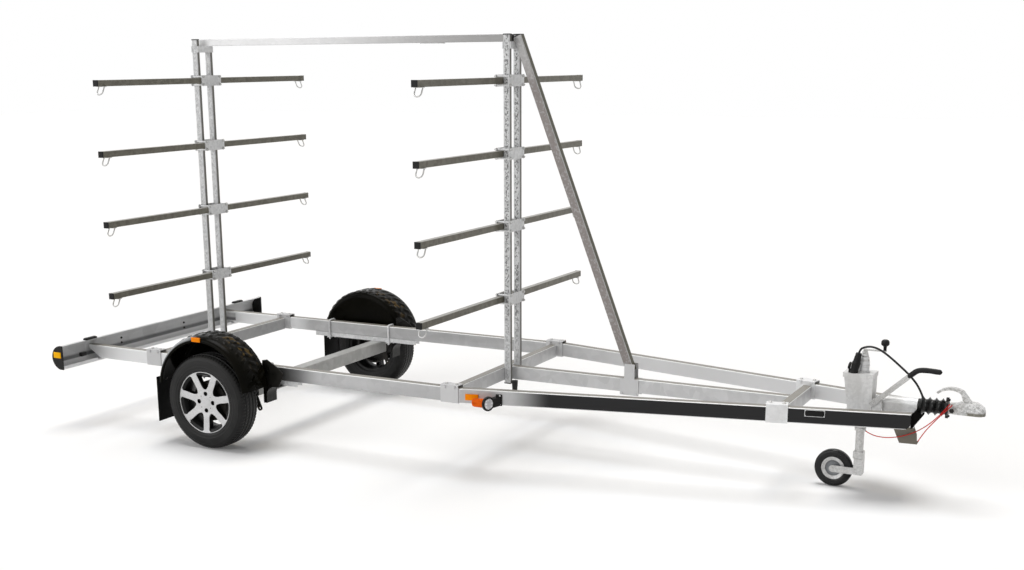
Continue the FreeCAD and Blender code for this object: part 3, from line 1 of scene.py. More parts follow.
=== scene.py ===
# Boat trailer with two racks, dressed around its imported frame. Lengths are in metres.
import bpy
import bmesh
import json
import math
import numpy as np
from mathutils import Matrix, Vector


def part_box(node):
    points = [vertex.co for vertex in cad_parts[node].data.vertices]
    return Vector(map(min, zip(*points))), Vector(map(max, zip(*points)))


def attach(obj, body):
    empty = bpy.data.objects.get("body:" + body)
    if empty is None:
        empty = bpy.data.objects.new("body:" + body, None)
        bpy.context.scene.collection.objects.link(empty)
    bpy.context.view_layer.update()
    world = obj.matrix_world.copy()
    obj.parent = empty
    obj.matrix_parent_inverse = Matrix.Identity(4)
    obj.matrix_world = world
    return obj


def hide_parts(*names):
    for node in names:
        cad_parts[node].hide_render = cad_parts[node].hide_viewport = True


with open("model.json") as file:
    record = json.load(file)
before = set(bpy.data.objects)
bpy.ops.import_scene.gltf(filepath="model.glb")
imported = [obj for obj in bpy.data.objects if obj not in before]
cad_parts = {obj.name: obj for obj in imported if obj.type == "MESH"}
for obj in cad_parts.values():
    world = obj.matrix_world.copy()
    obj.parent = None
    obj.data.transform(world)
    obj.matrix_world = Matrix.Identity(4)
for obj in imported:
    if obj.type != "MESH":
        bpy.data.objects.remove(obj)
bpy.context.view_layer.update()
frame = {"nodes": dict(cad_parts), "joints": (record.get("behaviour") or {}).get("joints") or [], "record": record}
nodes = frame["nodes"]
nodeSlots = {part["node"]: part["material_slot"] for part in frame["record"]["subparts"]}
axisX, axisY, axisZ = [joint["pos_m"] for joint in frame["joints"] if joint["name"] == "wheel_left_spin"][0]
print("frame loaded")


def spot(x, y, z):
    # A point measured from the wheels' axis along the trailer, as in part.py
    return np.array((x + axisX, y, z), float)


def corners(node):
    low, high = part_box(node)
    return np.array(low), np.array(high)


origin = (0, 0, 0)
forwards = (1, 0, 0)
leftwards = (0, 1, 0)
upwards = (0, 0, 1)


def unit(v):
    v = np.asarray(v, float)
    return v / np.linalg.norm(v, axis=-1, keepdims=True)


def standAt(obj, right, up, back, place):
    # A camera or lamp goes into the scene, placed and turned by its own axes
    turn = np.eye(4)
    turn[:3] = np.stack((right, up, back, place), -1)
    obj.matrix_world = Matrix(turn.tolist())
    bpy.context.scene.collection.objects.link(obj)


# Camera: fitted to the photo
camera = {"place": (3.5377, -6.8882, 2.1898), "yaw": 28.427, "pitch": 14.182, "roll": -0.460,
          "lens": 47.641, "shift": (0.0295, 0.1152)}


def makeCamera(c):
    yaw, pitch, roll = (math.radians(c[k]) for k in ("yaw", "pitch", "roll"))
    back = np.array((math.sin(yaw) * math.cos(pitch), -math.cos(yaw) * math.cos(pitch), math.sin(pitch)))
    right = unit(np.cross(-back, upwards))
    up = np.cross(right, -back)
    rolledRight = right * math.cos(roll) + up * math.sin(roll)
    rolledUp = up * math.cos(roll) - right * math.sin(roll)
    data = bpy.data.cameras.new("camera")
    data.sensor_width = 36.0
    data.lens = c["lens"]
    data.shift_x, data.shift_y = c["shift"]
    data.clip_end = 200.0
    obj = bpy.data.objects.new("camera", data)
    standAt(obj, rolledRight, rolledUp, back, c["place"])
    bpy.context.scene.camera = obj


makeCamera(camera)
bpy.context.scene.view_settings.view_transform = "Standard"


# Shape tools. A shape is (points, blocks), and a block is (faces as point numbers, material number)
def gridShape(points, loopAlong=False, loopAcross=False, capEnds=False, material=0):
    # points[i, j] is a surface of two parameters, and quads join each point to its neighbours
    rows, columns = points.shape[:2]
    index = np.arange(rows * columns).reshape(rows, columns)
    ends = [(index[:1, ::-1], material), (index[-1:], material)] if capEnds else []
    if loopAlong:
        index = np.vstack((index, index[:1]))
    if loopAcross:
        index = np.hstack((index, index[:, :1]))
    quads = np.stack((index[:-1, :-1], index[1:, :-1], index[1:, 1:], index[:-1, 1:]), -1).reshape(-1, 4)
    return points.reshape(-1, 3), [(quads, material)] + ends


def joined(shapes):
    points, blocks, start = [], [], 0
    for shapePoints, shapeBlocks in shapes:
        points.append(shapePoints)
        blocks.extend((faces + start, material) for faces, material in shapeBlocks)
        start += len(shapePoints)
    return np.vstack(points), blocks


def inMaterial(shape, material):
    return shape[0], [(faces, material) for faces, old in shape[1]]


def mirrored(shape):
    return shape[0] * np.array((1, -1, 1)), shape[1]


def bothSides(shape):
    return joined([shape, mirrored(shape)])


def splineThrough(controls, count, closed=False):
    # Catmull-Rom curve: each span blends the four controls about it with cubic weights
    c = np.asarray(controls, float)
    n = len(c)
    if closed:
        around = np.vstack((c[-1:], c, c[:2]))
        t = np.linspace(0, n, count, endpoint=False)
        i = np.minimum(t.astype(int), n - 1)
    else:
        around = np.vstack((2 * c[:1] - c[1:2], c, 2 * c[-1:] - c[-2:-1]))
        t = np.linspace(0, n - 1, count)
        i = np.minimum(t.astype(int), n - 2)
    u = (t - i)[:, None]
    p, q, r, s = around[i], around[i + 1], around[i + 2], around[i + 3]
    square = (2 * p - 5 * q + 4 * r - s) * u ** 2
    cube = (3 * q - p - 3 * r + s) * u ** 3
    return 0.5 * (2 * q + (r - p) * u + square + cube)


def rectangle(u0, u1, v0, v1):
    return [(u0, v0), (u1, v0), (u1, v1), (u0, v1)]


def turned(profile, centre, axis, steps=32, start=0.0, closed=False):
    # (radius, along) points carried round an axis through the centre
    a = unit(axis)
    side = unit(np.cross(a, upwards if abs(a[2]) < 0.9 else forwards))
    other = np.cross(a, side)
    angle = start + np.linspace(0, 2 * math.pi, steps, endpoint=False)
    ring = np.cos(angle)[:, None] * side + np.sin(angle)[:, None] * other
    p = np.asarray(profile, float)
    points = np.asarray(centre, float) + p[None, :, 1:] * a + p[None, :, :1] * ring[:, None]
    return gridShape(points, loopAlong=True, loopAcross=closed)


def swept(path, section, across, closedSection=True, capEnds=True):
    # Section carried along a path that lies in one plane: its first number is measured across the
    # plane and its second in the plane, square to the path
    path = np.asarray(path, float)
    tangent = unit(np.gradient(path, axis=0))
    across = unit(across)
    inPlane = np.cross(across, tangent)
    s = np.asarray(section, float)
    points = path[:, None] + s[None, :, :1] * across + s[None, :, 1:] * inPlane[:, None]
    return gridShape(points, loopAcross=closedSection, capEnds=capEnds)


def circle(radius, count=16):
    angle = np.linspace(0, 2 * math.pi, count, endpoint=False)
    return np.stack((radius * np.cos(angle), radius * np.sin(angle)), -1)


def roundBox(low, high, radius, steps=4):
    # Directions of a ball, each pushed out towards the corner of the box that it points to
    low, high = np.asarray(low, float), np.asarray(high, float)
    radius = min(radius, 0.49 * (high - low).min())
    lat = np.linspace(-math.pi / 2 + 1e-4, math.pi / 2 - 1e-4, 2 * steps + 2)
    lon = (np.arange(4 * steps + 4) + 0.5) * 2 * math.pi / (4 * steps + 4)
    lat, lon = lat[:, None], lon[None, :]
    flat = np.cos(lat)
    way = np.stack(np.broadcast_arrays(flat * np.cos(lon), flat * np.sin(lon), np.sin(lat)), -1)
    points = (low + high) / 2 + np.sign(way) * ((high - low) / 2 - radius) + way * radius
    return gridShape(points, loopAcross=True, capEnds=True)


def turnedAbout(shape, centre, axis, degrees):
    turn = np.array(Matrix.Rotation(math.radians(degrees), 3, tuple(axis)))
    centre = np.asarray(centre, float)
    return (shape[0] - centre) @ turn.T + centre, shape[1]


def makePiece(name, shape, looks, body="trailer", slot=None, replaces=(), smoothBelow=35.0):
    # One mesh that rides on a body. looks names its finishes, and slot is not used
    points, blocks = shape
    looks = [looks] if isinstance(looks, str) else looks
    slot = slot or looks[0]
    faces = [face for block, number in blocks for face in block.tolist()]
    numbers = [number for block, number in blocks for face in block]
    mesh = bpy.data.meshes.new(name)
    mesh.from_pydata(points.tolist(), [], faces)
    mesh.polygons.foreach_set("material_index", numbers)
    work = bmesh.new()
    work.from_mesh(mesh)
    bmesh.ops.remove_doubles(work, verts=work.verts, dist=2e-6)
    bmesh.ops.dissolve_degenerate(work, dist=1e-7, edges=work.edges)
    bmesh.ops.recalc_face_normals(work, faces=work.faces)
    work.to_mesh(mesh)
    work.free()
    mesh.polygons.foreach_set("use_smooth", [True] * len(mesh.polygons))
    mesh.set_sharp_from_angle(angle=math.radians(smoothBelow))
    for look in looks:
        mesh.materials.append(finishes[look])
    obj = bpy.data.objects.new(name, mesh)
    bpy.context.scene.collection.objects.link(obj)
    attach(obj, body)
    if replaces:
        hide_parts(*replaces)
    return obj


# Node groups that several finishes share
def startGroup(name, *outputs, vectors=("Vector",)):
    # Vectors and a scale go in, and numbers come out
    tree = bpy.data.node_groups.new(name, "ShaderNodeTree")
    for label in vectors:
        tree.interface.new_socket(label, in_out="INPUT", socket_type="NodeSocketVector")
    tree.interface.new_socket("Scale", in_out="INPUT", socket_type="NodeSocketFloat")
    for label in outputs:
        tree.interface.new_socket(label, in_out="OUTPUT", socket_type="NodeSocketFloat")
    return tree, tree.nodes.new("NodeGroupInput").outputs, tree.nodes.new("NodeGroupOutput").inputs


def feed(tree, socket, value):
    # A link from another node, or a plain value
    if isinstance(value, bpy.types.NodeSocket):
        tree.links.new(value, socket)
    else:
        socket.default_value = value


def addNode(tree, kind, settings=None, **values):
    node = tree.nodes.new("ShaderNode" + kind)
    for key, value in (settings or {}).items():
        setattr(node, key, value)
    for key, value in values.items():
        feed(tree, node.inputs[key], value)
    return node


def maths(tree, operation, *values):
    node = addNode(tree, "Math", {"operation": operation})
    for socket, value in zip(node.inputs, values):
        feed(tree, socket, value)
    return node.outputs[0]


def vectorMaths(tree, operation, first, second):
    node = addNode(tree, "VectorMath", {"operation": operation})
    feed(tree, node.inputs[0], first)
    feed(tree, node.inputs[1], second)
    return node.outputs[0]


def product(tree, values):
    result = values[0]
    for value in values[1:]:
        result = maths(tree, "MULTIPLY", result, value)
    return result


def split(tree, vector):
    return addNode(tree, "SeparateXYZ", Vector=vector).outputs


def remap(tree, value, fromLow, fromHigh, toLow=0.0, toHigh=1.0):
    limits = {"From Min": fromLow, "From Max": fromHigh, "To Min": toLow, "To Max": toHigh}
    return addNode(tree, "MapRange", {"interpolation_type": "SMOOTHSTEP"}, Value=value, **limits).outputs[0]


def blendColour(tree, mask, first, second):
    node = addNode(tree, "Mix", {"data_type": "RGBA"})
    feed(tree, node.inputs[0], mask)
    for socket, colour in ((node.inputs[6], first), (node.inputs[7], second)):
        feed(tree, socket, (*colour, 1.0) if isinstance(colour, tuple) else colour)
    return node.outputs[2]


def noise(tree, vector, scale, **values):
    return addNode(tree, "TexNoise", Vector=vector, Scale=scale, **values).outputs


def spangleGroup():
    # Zinc crystals: patches of one tone each, broken up by a finer grain
    tree, given, out = startGroup("zincSpangle", "Tone", "Grain")
    warp = noise(tree, given["Vector"], given["Scale"], Detail=2.0)["Color"]
    shift = vectorMaths(tree, "MULTIPLY", warp, (0.012, 0.012, 0.012))
    moved = vectorMaths(tree, "ADD", given["Vector"], shift)
    cells = addNode(tree, "TexVoronoi", Vector=moved, Scale=given["Scale"], Randomness=1.0)
    tone = addNode(tree, "SeparateColor", Color=cells.outputs["Color"]).outputs[0]
    cloud = noise(tree, given["Vector"], given["Scale"], Detail=3.0, Roughness=0.6)["Fac"]
    finer = maths(tree, "MULTIPLY", given["Scale"], 9.0)
    feed(tree, out["Tone"], maths(tree, "MULTIPLY_ADD", tone, 0.5, maths(tree, "MULTIPLY", cloud, 0.5)))
    feed(tree, out["Grain"], noise(tree, given["Vector"], finer, Detail=2.0)["Fac"])
    return tree


def streakGroup():
    # Long soft marks that run the way the surface was drawn or dipped
    tree, given, out = startGroup("dipStreaks", "Mask", vectors=("Vector", "Stretch"))
    long = vectorMaths(tree, "MULTIPLY", given["Vector"], given["Stretch"])
    marks = noise(tree, long, given["Scale"], Detail=4.0, Roughness=0.62)["Fac"]
    feed(tree, out["Mask"], remap(tree, marks, 0.36, 0.68))
    return tree


def grainGroup():
    # Fine moulded grain, as height, with broader cloudy patches as a mask
    tree, given, out = startGroup("mouldGrain", "Height", "Patches")
    smooth = {"feature": "SMOOTH_F1"}
    cells = addNode(tree, "TexVoronoi", smooth, Vector=given["Vector"], Scale=given["Scale"])
    fine = noise(tree, given["Vector"], given["Scale"], Detail=4.0)["Fac"]
    coarser = maths(tree, "MULTIPLY", given["Scale"], 0.012)
    broad = noise(tree, given["Vector"], coarser, Detail=3.0)["Fac"]
    feed(tree, out["Height"], maths(tree, "MULTIPLY_ADD", cells.outputs["Distance"], 0.6, fine))
    feed(tree, out["Patches"], remap(tree, broad, 0.38, 0.62))
    return tree


def dustGroup():
    # Dust that settles on what faces up, in uneven patches
    tree, given, out = startGroup("settledDust", "Mask")
    facing = remap(tree, split(tree, addNode(tree, "NewGeometry").outputs["Normal"])["Z"], 0.35, 1.0)
    uneven = remap(tree, noise(tree, given["Vector"], given["Scale"], Detail=5.0)["Fac"], 0.3, 0.7)
    feed(tree, out["Mask"], maths(tree, "MULTIPLY", facing, uneven))
    return tree


groups = {"spangle": spangleGroup(), "streaks": streakGroup(), "grain": grainGroup(), "dust": dustGroup()}


def addGroup(tree, name, vector, scale, stretch=None):
    node = tree.nodes.new("ShaderNodeGroup")
    node.node_tree = groups[name]
    tree.links.new(vector, node.inputs["Vector"])
    node.inputs["Scale"].default_value = scale
    if stretch:
        node.inputs["Stretch"].default_value = stretch
    return node.outputs


def startMaterial(name, plain):
    material = bpy.data.materials.new(name)
    material.use_nodes = True
    tree = material.node_tree
    shader = tree.nodes["Principled BSDF"]
    for label, value in plain.items():
        shader.inputs[label].default_value = value
    return material, tree, shader, addNode(tree, "TexCoord").outputs["Object"]


def addBump(tree, shader, height, strength, distance):
    bump = addNode(tree, "Bump", Height=height, Strength=strength, Distance=distance)
    tree.links.new(bump.outputs[0], shader.inputs["Normal"])


# Drawn-in rails: from the bend their outer faces close in by the slope
rail = {"slope": 0.22863, "outerY": 0.689, "bendX": 1.55}
postsAt = (1.521, -0.660)  # Middle of the front and the rear posts
jockeyHub = [joint["pos_m"] for joint in frame["joints"] if joint["name"] == "jockey_wheel_spin"][0]

# Masks of local colour. Each is a product of smooth steps of a measure, from one value to another, and
# between 0 and 1 unless two more numbers are given
patterns = {"sheen": {"scale": 26.0, "detail": 1.0, "rough": 0.5, "stretch": (1.0, 1.0, 1.0)},
            "crystals": {"scale": 95.0, "detail": 2.0, "rough": 0.7, "stretch": (1.0, 1.0, 0.7)},
            "bareSpots": {"scale": 70.0, "detail": 2.0, "rough": 0.7, "stretch": (1.0, 1.0, 1.0)}}
masks = {
    # Black film on the drawn-in rails' outer faces, between thin bare edges, fading in from the bend
    "film": [("railSide", rail["outerY"] - 0.0016, rail["outerY"] - 0.0014), ("z", 0.3974, 0.3976),
             ("z", 0.4686, 0.4684), ("ahead", 1.76, 2.04)],
    # Black caps on whatever faces forward at the drawbar's front end
    "railEnd": [("facesAhead", 0.5, 0.8), ("ahead", 3.80, 3.81)],
    # Paler zinc towards the nose, bright zinc behind the wheels, and painted shade from the guards, fading out
    # ahead of their brackets
    "railFront": [("ahead", 1.3, 2.3, 0.0, 0.9)],
    "railRear": [("ahead", -0.35, -0.50, 0.0, 0.9)],
    "railShade": [("ahead", 0.66, 0.42, 0.0, 0.85), ("ahead", 0.20, 0.30), ("side", 0.6875, 0.6885)],
    # Painted dark reflection on the flat tops, a painted highlight along their rounded corners, and painted light
    # on what faces up
    "flatTop": [("facesUp", 0.90, 0.95, 0.0, 0.9)],
    "topCorner": [("facesUp", 0.30, 0.45), ("facesUp", 0.90, 0.85)],
    "upFace": [("facesUp", 0.5, 0.9)],
    # Greyer clamps behind the drawbar's
    "clampRear": [("ahead", 2.7, 2.5, 0.0, 0.9)],
    # Black front of the housing, dark plate under it, and a dark yellowish rim along the underside of the
    # coupling's socket
    "housingFront": [("ahead", 3.8195, 3.8215), ("z", 0.374, 0.380)],
    "hookPlate": [("z", 0.380, 0.374)],
    "noseRim": [("ahead", 4.05, 4.07), ("z", 0.484, 0.474, 0.0, 0.8)],
    # Painted highlight on the rolled lip's rear half up to the reflector, and painted warm highlights on some lugs
    # ahead of the top
    "guardLip": [("side", 0.918, 0.936), ("facesRear", 0.10, 0.60), ("ahead", -0.03, -0.12),
                 ("z", 0.40, 0.60, 0.12, 1.0)],
    "guardGlow": [("ahead", 0.02, 0.12), ("ahead", 0.30, 0.22), ("side", 0.76, 0.80), ("side", 0.90, 0.86),
                  ("sheen", 0.56, 0.64, 0.0, 0.8)],
    # Painted shade on the posts' front and rear faces and the edges next to them, and small dark crystals crowded
    # along the middle of their wide faces
    "postEdge": [("fromPosts", 0.0195, 0.0207)],
    "postMarks": [("fromPosts", 0.0165, 0.0085), ("crystals", 0.47, 0.58), ("ahead", 0.0, 1.0, 0.35, 1.0),
                  ("z", 0.5, 0.9, 0.4, 1.0)],
    # Warmer grey on the strut's sides below the top, broken by bare crystals, and painted shade on its front
    "strutSide": [("side", 0.0235, 0.0247), ("z", 2.24, 2.02, 0.15, 0.9),
                  ("bareSpots", 0.36, 0.5, 0.55, 1.0)],
    "strutFront": [("facesAhead", 0.5, 0.9), ("y", -0.018, -0.012)],
    # Shade in the pressed hollow of the small wheel's disc
    "jockeyDish": [("fromHub", 0.044, 0.040), ("fromHub", 0.014, 0.018)],
    # Top bar, greyer towards the front
    "topBarFront": [("ahead", -0.2, 1.45, 0.0, 0.85)],
    # Painted light on the light bar's lower lip, and a band of painted shade above it
    "barLip": [("z", 0.414, 0.404)],
    "barShade": [("z", 0.404, 0.412), ("z", 0.440, 0.424, 0.0, 0.8)],
}


def measure(tree, where, name):
    # A number over the surface: its place, the way that it faces, or a pattern of noise
    if name in patterns:
        look = patterns[name]
        stretched = vectorMaths(tree, "MULTIPLY", where, look["stretch"])
        return noise(tree, stretched, look["scale"], Detail=look["detail"], Roughness=look["rough"])["Fac"]
    if name.startswith("faces"):
        normal = split(tree, addNode(tree, "NewGeometry").outputs["Normal"])
        if name == "facesRear":  # Upwards and to the rear
            return maths(tree, "MULTIPLY_ADD", normal["X"], -0.6, maths(tree, "MULTIPLY", normal["Z"], 0.7))
        return normal["X" if name == "facesAhead" else "Z"]
    x, y, z = split(tree, where)
    if name == "y":
        return y
    if name == "z":
        return z
    if name == "side":
        return maths(tree, "ABSOLUTE", y)
    if name == "fromHub":  # From the small wheel's axis
        along = maths(tree, "SUBTRACT", x, jockeyHub[0])
        rise = maths(tree, "SUBTRACT", z, jockeyHub[2])
        squares = maths(tree, "MULTIPLY_ADD", along, along, maths(tree, "MULTIPLY", rise, rise))
        return maths(tree, "SQRT", squares)
    ahead = maths(tree, "SUBTRACT", x, axisX)
    if name == "railSide":  # Across the trailer, as if the rails weren't drawn in
        fromBend = maths(tree, "SUBTRACT", ahead, rail["bendX"])
        return maths(tree, "MULTIPLY_ADD", fromBend, rail["slope"], maths(tree, "ABSOLUTE", y))
    if name == "fromPosts":  # Along the trailer from the middle of the nearer posts
        gaps = [maths(tree, "ABSOLUTE", maths(tree, "SUBTRACT", ahead, place)) for place in postsAt]
        return maths(tree, "MINIMUM", *gaps)
    return ahead


def addLayers(tree, where, colour, layers):
    for maskName, layerColour in layers:
        steps = [remap(tree, measure(tree, where, name), *limits) for name, *limits in masks[maskName]]
        colour = blendColour(tree, product(tree, steps), colour, layerColour)
    return colour


# Finishes. Each look holds what differs from the plain look of its kind
plainZinc = {"metallic": 0.15, "softness": 0.4, "streaks": 0.3, "streakScale": 6.0,
             "stretch": (1.0, 1.0, 0.15), "rough": (0.34, 0.5), "bump": 0.12, "layers": []}
zincLooks = {
    "galvanised": {"name": "galvanisedSteel", "spangle": 80.0, "softness": 0.45,
                   "dark": (0.66, 0.665, 0.67), "light": (0.86, 0.865, 0.87), "streaks": 0.4,
                   "stain": (0.48, 0.48, 0.48)},
    "clamps": {"name": "galvanisedClamp", "spangle": 70.0, "softness": 0.45, "dark": (0.80, 0.805, 0.81),
               "light": (0.93, 0.935, 0.94), "streaks": 0.4, "stain": (0.62, 0.62, 0.62),
               "layers": [("clampRear", (0.57, 0.57, 0.575))]},
    "beams": {"name": "galvanisedBeam", "spangle": 24.0, "softness": 0.6, "dark": (0.52, 0.52, 0.525),
              "light": (0.66, 0.66, 0.665), "stain": (0.46, 0.46, 0.46), "stretch": (1.0, 0.12, 1.0),
              "rough": (0.34, 0.48),
              # Layers: a painted highlight along the rounded corners and a painted dark reflection on the flat
              # tops
              "layers": [("topCorner", (0.88, 0.88, 0.87)), ("flatTop", (0.20, 0.185, 0.155))]},
    "rails": {"name": "galvanisedRail", "spangle": 20.0, "softness": 0.6, "dark": (0.45, 0.45, 0.455),
              "light": (0.57, 0.57, 0.575), "streaks": 0.5, "stain": (0.30, 0.30, 0.30),
              "stretch": (0.12, 1.0, 1.0), "rough": (0.32, 0.46),
              "layers": [("railFront", (0.70, 0.70, 0.705)), ("railRear", (0.86, 0.865, 0.87)),
                         # A painted highlight along the rounded corners and a painted dark reflection on the flat
                         # tops
                         ("topCorner", (0.88, 0.88, 0.87)), ("flatTop", (0.17, 0.155, 0.125)),
                         # Painted shade from the guards ahead of their brackets
                         ("railShade", (0.05, 0.05, 0.05)), ("film", (0.010, 0.010, 0.011)),
                         ("railEnd", (0.012, 0.011, 0.011))]},
    "centre": {"name": "galvanisedCentre", "spangle": 24.0, "softness": 0.6, "dark": (0.33, 0.33, 0.32),
               "light": (0.45, 0.45, 0.44), "stain": (0.26, 0.26, 0.25), "stretch": (0.12, 1.0, 1.0),
               "rough": (0.34, 0.48)},
    "housing": {"name": "housingZinc", "spangle": 70.0, "softness": 0.45, "dark": (0.74, 0.745, 0.75),
                "light": (0.93, 0.935, 0.94), "streaks": 0.6, "stain": (0.50, 0.49, 0.47),
                "rough": (0.3, 0.46),
                "layers": [("hookPlate", (0.15, 0.135, 0.11)), ("housingFront", (0.012, 0.011, 0.011))]},
    "casting": {"name": "castZinc", "spangle": 110.0, "softness": 0.3, "dark": (0.44, 0.44, 0.435),
                "light": (0.88, 0.88, 0.88), "streaks": 0.5, "stain": (0.42, 0.41, 0.38),
                "rough": (0.26, 0.42),
                "layers": [("noseRim", (0.10, 0.09, 0.05))]},
    "posts": {"name": "galvanisedPost", "spangle": 60.0, "dark": (0.55, 0.555, 0.56),
              "light": (0.72, 0.725, 0.73), "streaks": 0.25, "stain": (0.42, 0.42, 0.42),
              "rough": (0.3, 0.5),
              # Layers: small dark crystals, and painted shade on the front and rear faces
              "layers": [("postMarks", (0.17, 0.17, 0.17)), ("postEdge", (0.17, 0.165, 0.15))]},
    "strut": {"name": "galvanisedStrut", "spangle": 90.0, "dark": (0.40, 0.40, 0.40),
              "light": (0.60, 0.60, 0.60), "stain": (0.36, 0.35, 0.33), "rough": (0.3, 0.45),
              # Layers: warmer grey sides, and painted shade on the front
              "layers": [("strutSide", (0.24, 0.21, 0.20)), ("strutFront", (0.055, 0.05, 0.026))]},
    # Arms: the dark olive base is painted shade for the faces turned away from the light, and their tops get
    # painted light
    "arms": {"name": "galvanisedArm", "spangle": 40.0, "dark": (0.125, 0.117, 0.090),
             "light": (0.19, 0.18, 0.145), "streaks": 0.4, "stain": (0.10, 0.09, 0.07),
             "stretch": (1.0, 0.1, 1.0), "rough": (0.3, 0.45),
             "layers": [("upFace", (0.32, 0.31, 0.28))]},
    "topBar": {"name": "galvanisedTopBar", "spangle": 24.0, "softness": 0.6, "dark": (0.80, 0.80, 0.805),
               "light": (0.90, 0.90, 0.905), "streaks": 0.2, "stain": (0.65, 0.65, 0.65),
               "stretch": (0.12, 1.0, 1.0), "rough": (0.34, 0.48),
               "layers": [("topBarFront", (0.27, 0.265, 0.26))]},
    "bar_grey": {"name": "greyBar", "spangle": 10.0, "dark": (0.58, 0.585, 0.59),
                 "light": (0.76, 0.765, 0.77), "streaks": 0.6, "stain": (0.46, 0.46, 0.465),
                 "stretch": (1.0, 0.06, 1.0), "rough": (0.36, 0.5),
                 # Layers: a band of painted shade, and painted light on the lower lip
                 "layers": [("barShade", (0.07, 0.07, 0.072)), ("barLip", (0.86, 0.86, 0.865))]},
    "zinc_plated": {"name": "zincPlated", "metallic": 0.35, "spangle": 130.0, "dark": (0.50, 0.50, 0.495),
                    "light": (0.70, 0.70, 0.695), "streaks": 0.35, "stain": (0.33, 0.31, 0.28),
                    "rough": (0.22, 0.4)},
    "jockey_zinc": {"name": "jockeyZinc", "spangle": 130.0, "dark": (0.52, 0.52, 0.52),
                    "light": (0.78, 0.78, 0.78), "streaks": 0.35, "stain": (0.33, 0.31, 0.28),
                    "rough": (0.22, 0.4),
                    "layers": [("jockeyDish", (0.20, 0.21, 0.22))]},
    "rim_alloy": {"name": "rimFace", "spangle": 300.0, "softness": 0.45, "dark": (0.58, 0.58, 0.585),
                  "light": (0.76, 0.76, 0.765), "streaks": 0.15, "stain": (0.45, 0.45, 0.45),
                  "rough": (0.25, 0.4), "bump": 0.2},
}
plainMoulded = {"specular": 0.16, "grain": 500.0, "rough": (0.3, 0.45), "dust": 0.0, "dustScale": 7.0,
                "dustColour": (0.2, 0.19, 0.17), "bump": 0.2, "layers": []}
mouldedLooks = {
    "drum_iron": {"name": "drumIron", "dark": (0.010, 0.009, 0.008), "light": (0.026, 0.024, 0.021),
                  "rough": (0.4, 0.6)},
    "black_steel": {"name": "blackSteel", "specular": 0.2, "grain": 700.0, "dark": (0.006, 0.006, 0.005),
                    "light": (0.014, 0.013, 0.011), "rough": (0.25, 0.4)},
    "tyre": {"name": "tyreRubber", "specular": 0.2, "grain": 600.0, "dark": (0.006, 0.006, 0.006),
             "light": (0.013, 0.0128, 0.0125), "rough": (0.36, 0.5), "dust": 0.06},
    "rubber_black": {"name": "blackRubber", "specular": 0.26, "grain": 600.0, "dark": (0.005, 0.005, 0.005),
                     "light": (0.010, 0.010, 0.010), "rough": (0.20, 0.34), "dust": 0.03},
    "matt_black": {"name": "mattBlack", "specular": 0.0, "dark": (0.006, 0.006, 0.006),
                   "light": (0.011, 0.011, 0.011), "rough": (0.6, 0.7)},
    "flap": {"name": "flapRubber", "specular": 0.06, "grain": 300.0, "dark": (0.004, 0.004, 0.004),
             "light": (0.009, 0.009, 0.009), "rough": (0.5, 0.65)},
    "guard_plastic": {"name": "guardPlastic", "specular": 0.035, "grain": 420.0,
                      "dark": (0.0026, 0.0024, 0.0014), "light": (0.0050, 0.0045, 0.0028),
                      "rough": (0.14, 0.24), "bump": 0.1,
                      # Layers: painted warm highlights on some lugs and a painted highlight on the rolled lip
                      "layers": [("guardGlow", (0.10, 0.065, 0.022)), ("guardLip", (0.34, 0.35, 0.36))]},
    "black_plastic": {"name": "blackPlastic", "dark": (0.006, 0.006, 0.006),
                      "light": (0.012, 0.012, 0.012)},
    "marker_plastic": {"name": "markerPlastic", "dark": (0.006, 0.006, 0.006),
                       "light": (0.010, 0.010, 0.010), "rough": (0.25, 0.35)},
    "cord_red": {"name": "redCord", "dark": (0.50, 0.012, 0.010), "light": (0.72, 0.03, 0.02),
                 "rough": (0.3, 0.4)},
}
lensLooks = {
    "amber_lens": {"name": "amberLens", "cells": 260.0, "dark": (0.95, 0.23, 0.001),
                   "light": (1.0, 0.34, 0.002)},
    "yellow_lens": {"name": "yellowLens", "cells": 260.0, "dark": (1.0, 0.42, 0.002),
                    "light": (1.0, 0.55, 0.003)},
    "orange_lens": {"name": "orangeLens", "cells": 200.0, "dark": (0.60, 0.07, 0.003),
                    "light": (0.95, 0.17, 0.004)},
    "red_lens": {"name": "redLens", "cells": 260.0, "dark": (0.35, 0.005, 0.004),
                 "light": (0.62, 0.012, 0.008)},
    "clear_lens": {"name": "clearLens", "cells": 60.0, "dark": (0.50, 0.50, 0.52),
                   "light": (0.95, 0.95, 0.96)},
}
nodeLooks = {"rails": ("side_rail_left", "side_rail_right"), "posts": ("posts_front", "posts_rear"),
             "arms": ("arms_front", "arms_rear"), "centre": ("axle_beam",), "strut": ("strut",),
             "beams": ("crossbeam_front", "crossbeam_rear", "crossbeam_drawbar", "centre_beam"),
             "topBar": ("top_bar",), "flap": ("mudflaps",), "matt_black": ("nose_plate",),
             "casting": ("coupling_head", "coupling_handle"), "housing": ("jockey_tower", "overrun_housing"),
             "clamps": ("rail_clamps", "strut_foot")}


def zincFinish(look):
    # Dipped or plated steel: crystal tones, streaks along the piece, then layers of local colour
    plain = {"Metallic": look["metallic"], "Specular IOR Level": 0.3}
    material, tree, shader, where = startMaterial(look["name"], plain)
    spangle = addGroup(tree, "spangle", where, look["spangle"])
    streak = addGroup(tree, "streaks", where, look["streakScale"], look["stretch"])["Mask"]
    tone = remap(tree, spangle["Tone"], 0.5 - look["softness"], 0.5 + look["softness"])
    colour = blendColour(tree, tone, look["dark"], look["light"])
    colour = blendColour(tree, maths(tree, "MULTIPLY", streak, look["streaks"]), colour, look["stain"])
    feed(tree, shader.inputs["Base Color"], addLayers(tree, where, colour, look["layers"]))
    feed(tree, shader.inputs["Roughness"], remap(tree, spangle["Grain"], 0.3, 0.7, *look["rough"]))
    addBump(tree, shader, spangle["Grain"], look["bump"], 0.0005)
    return material


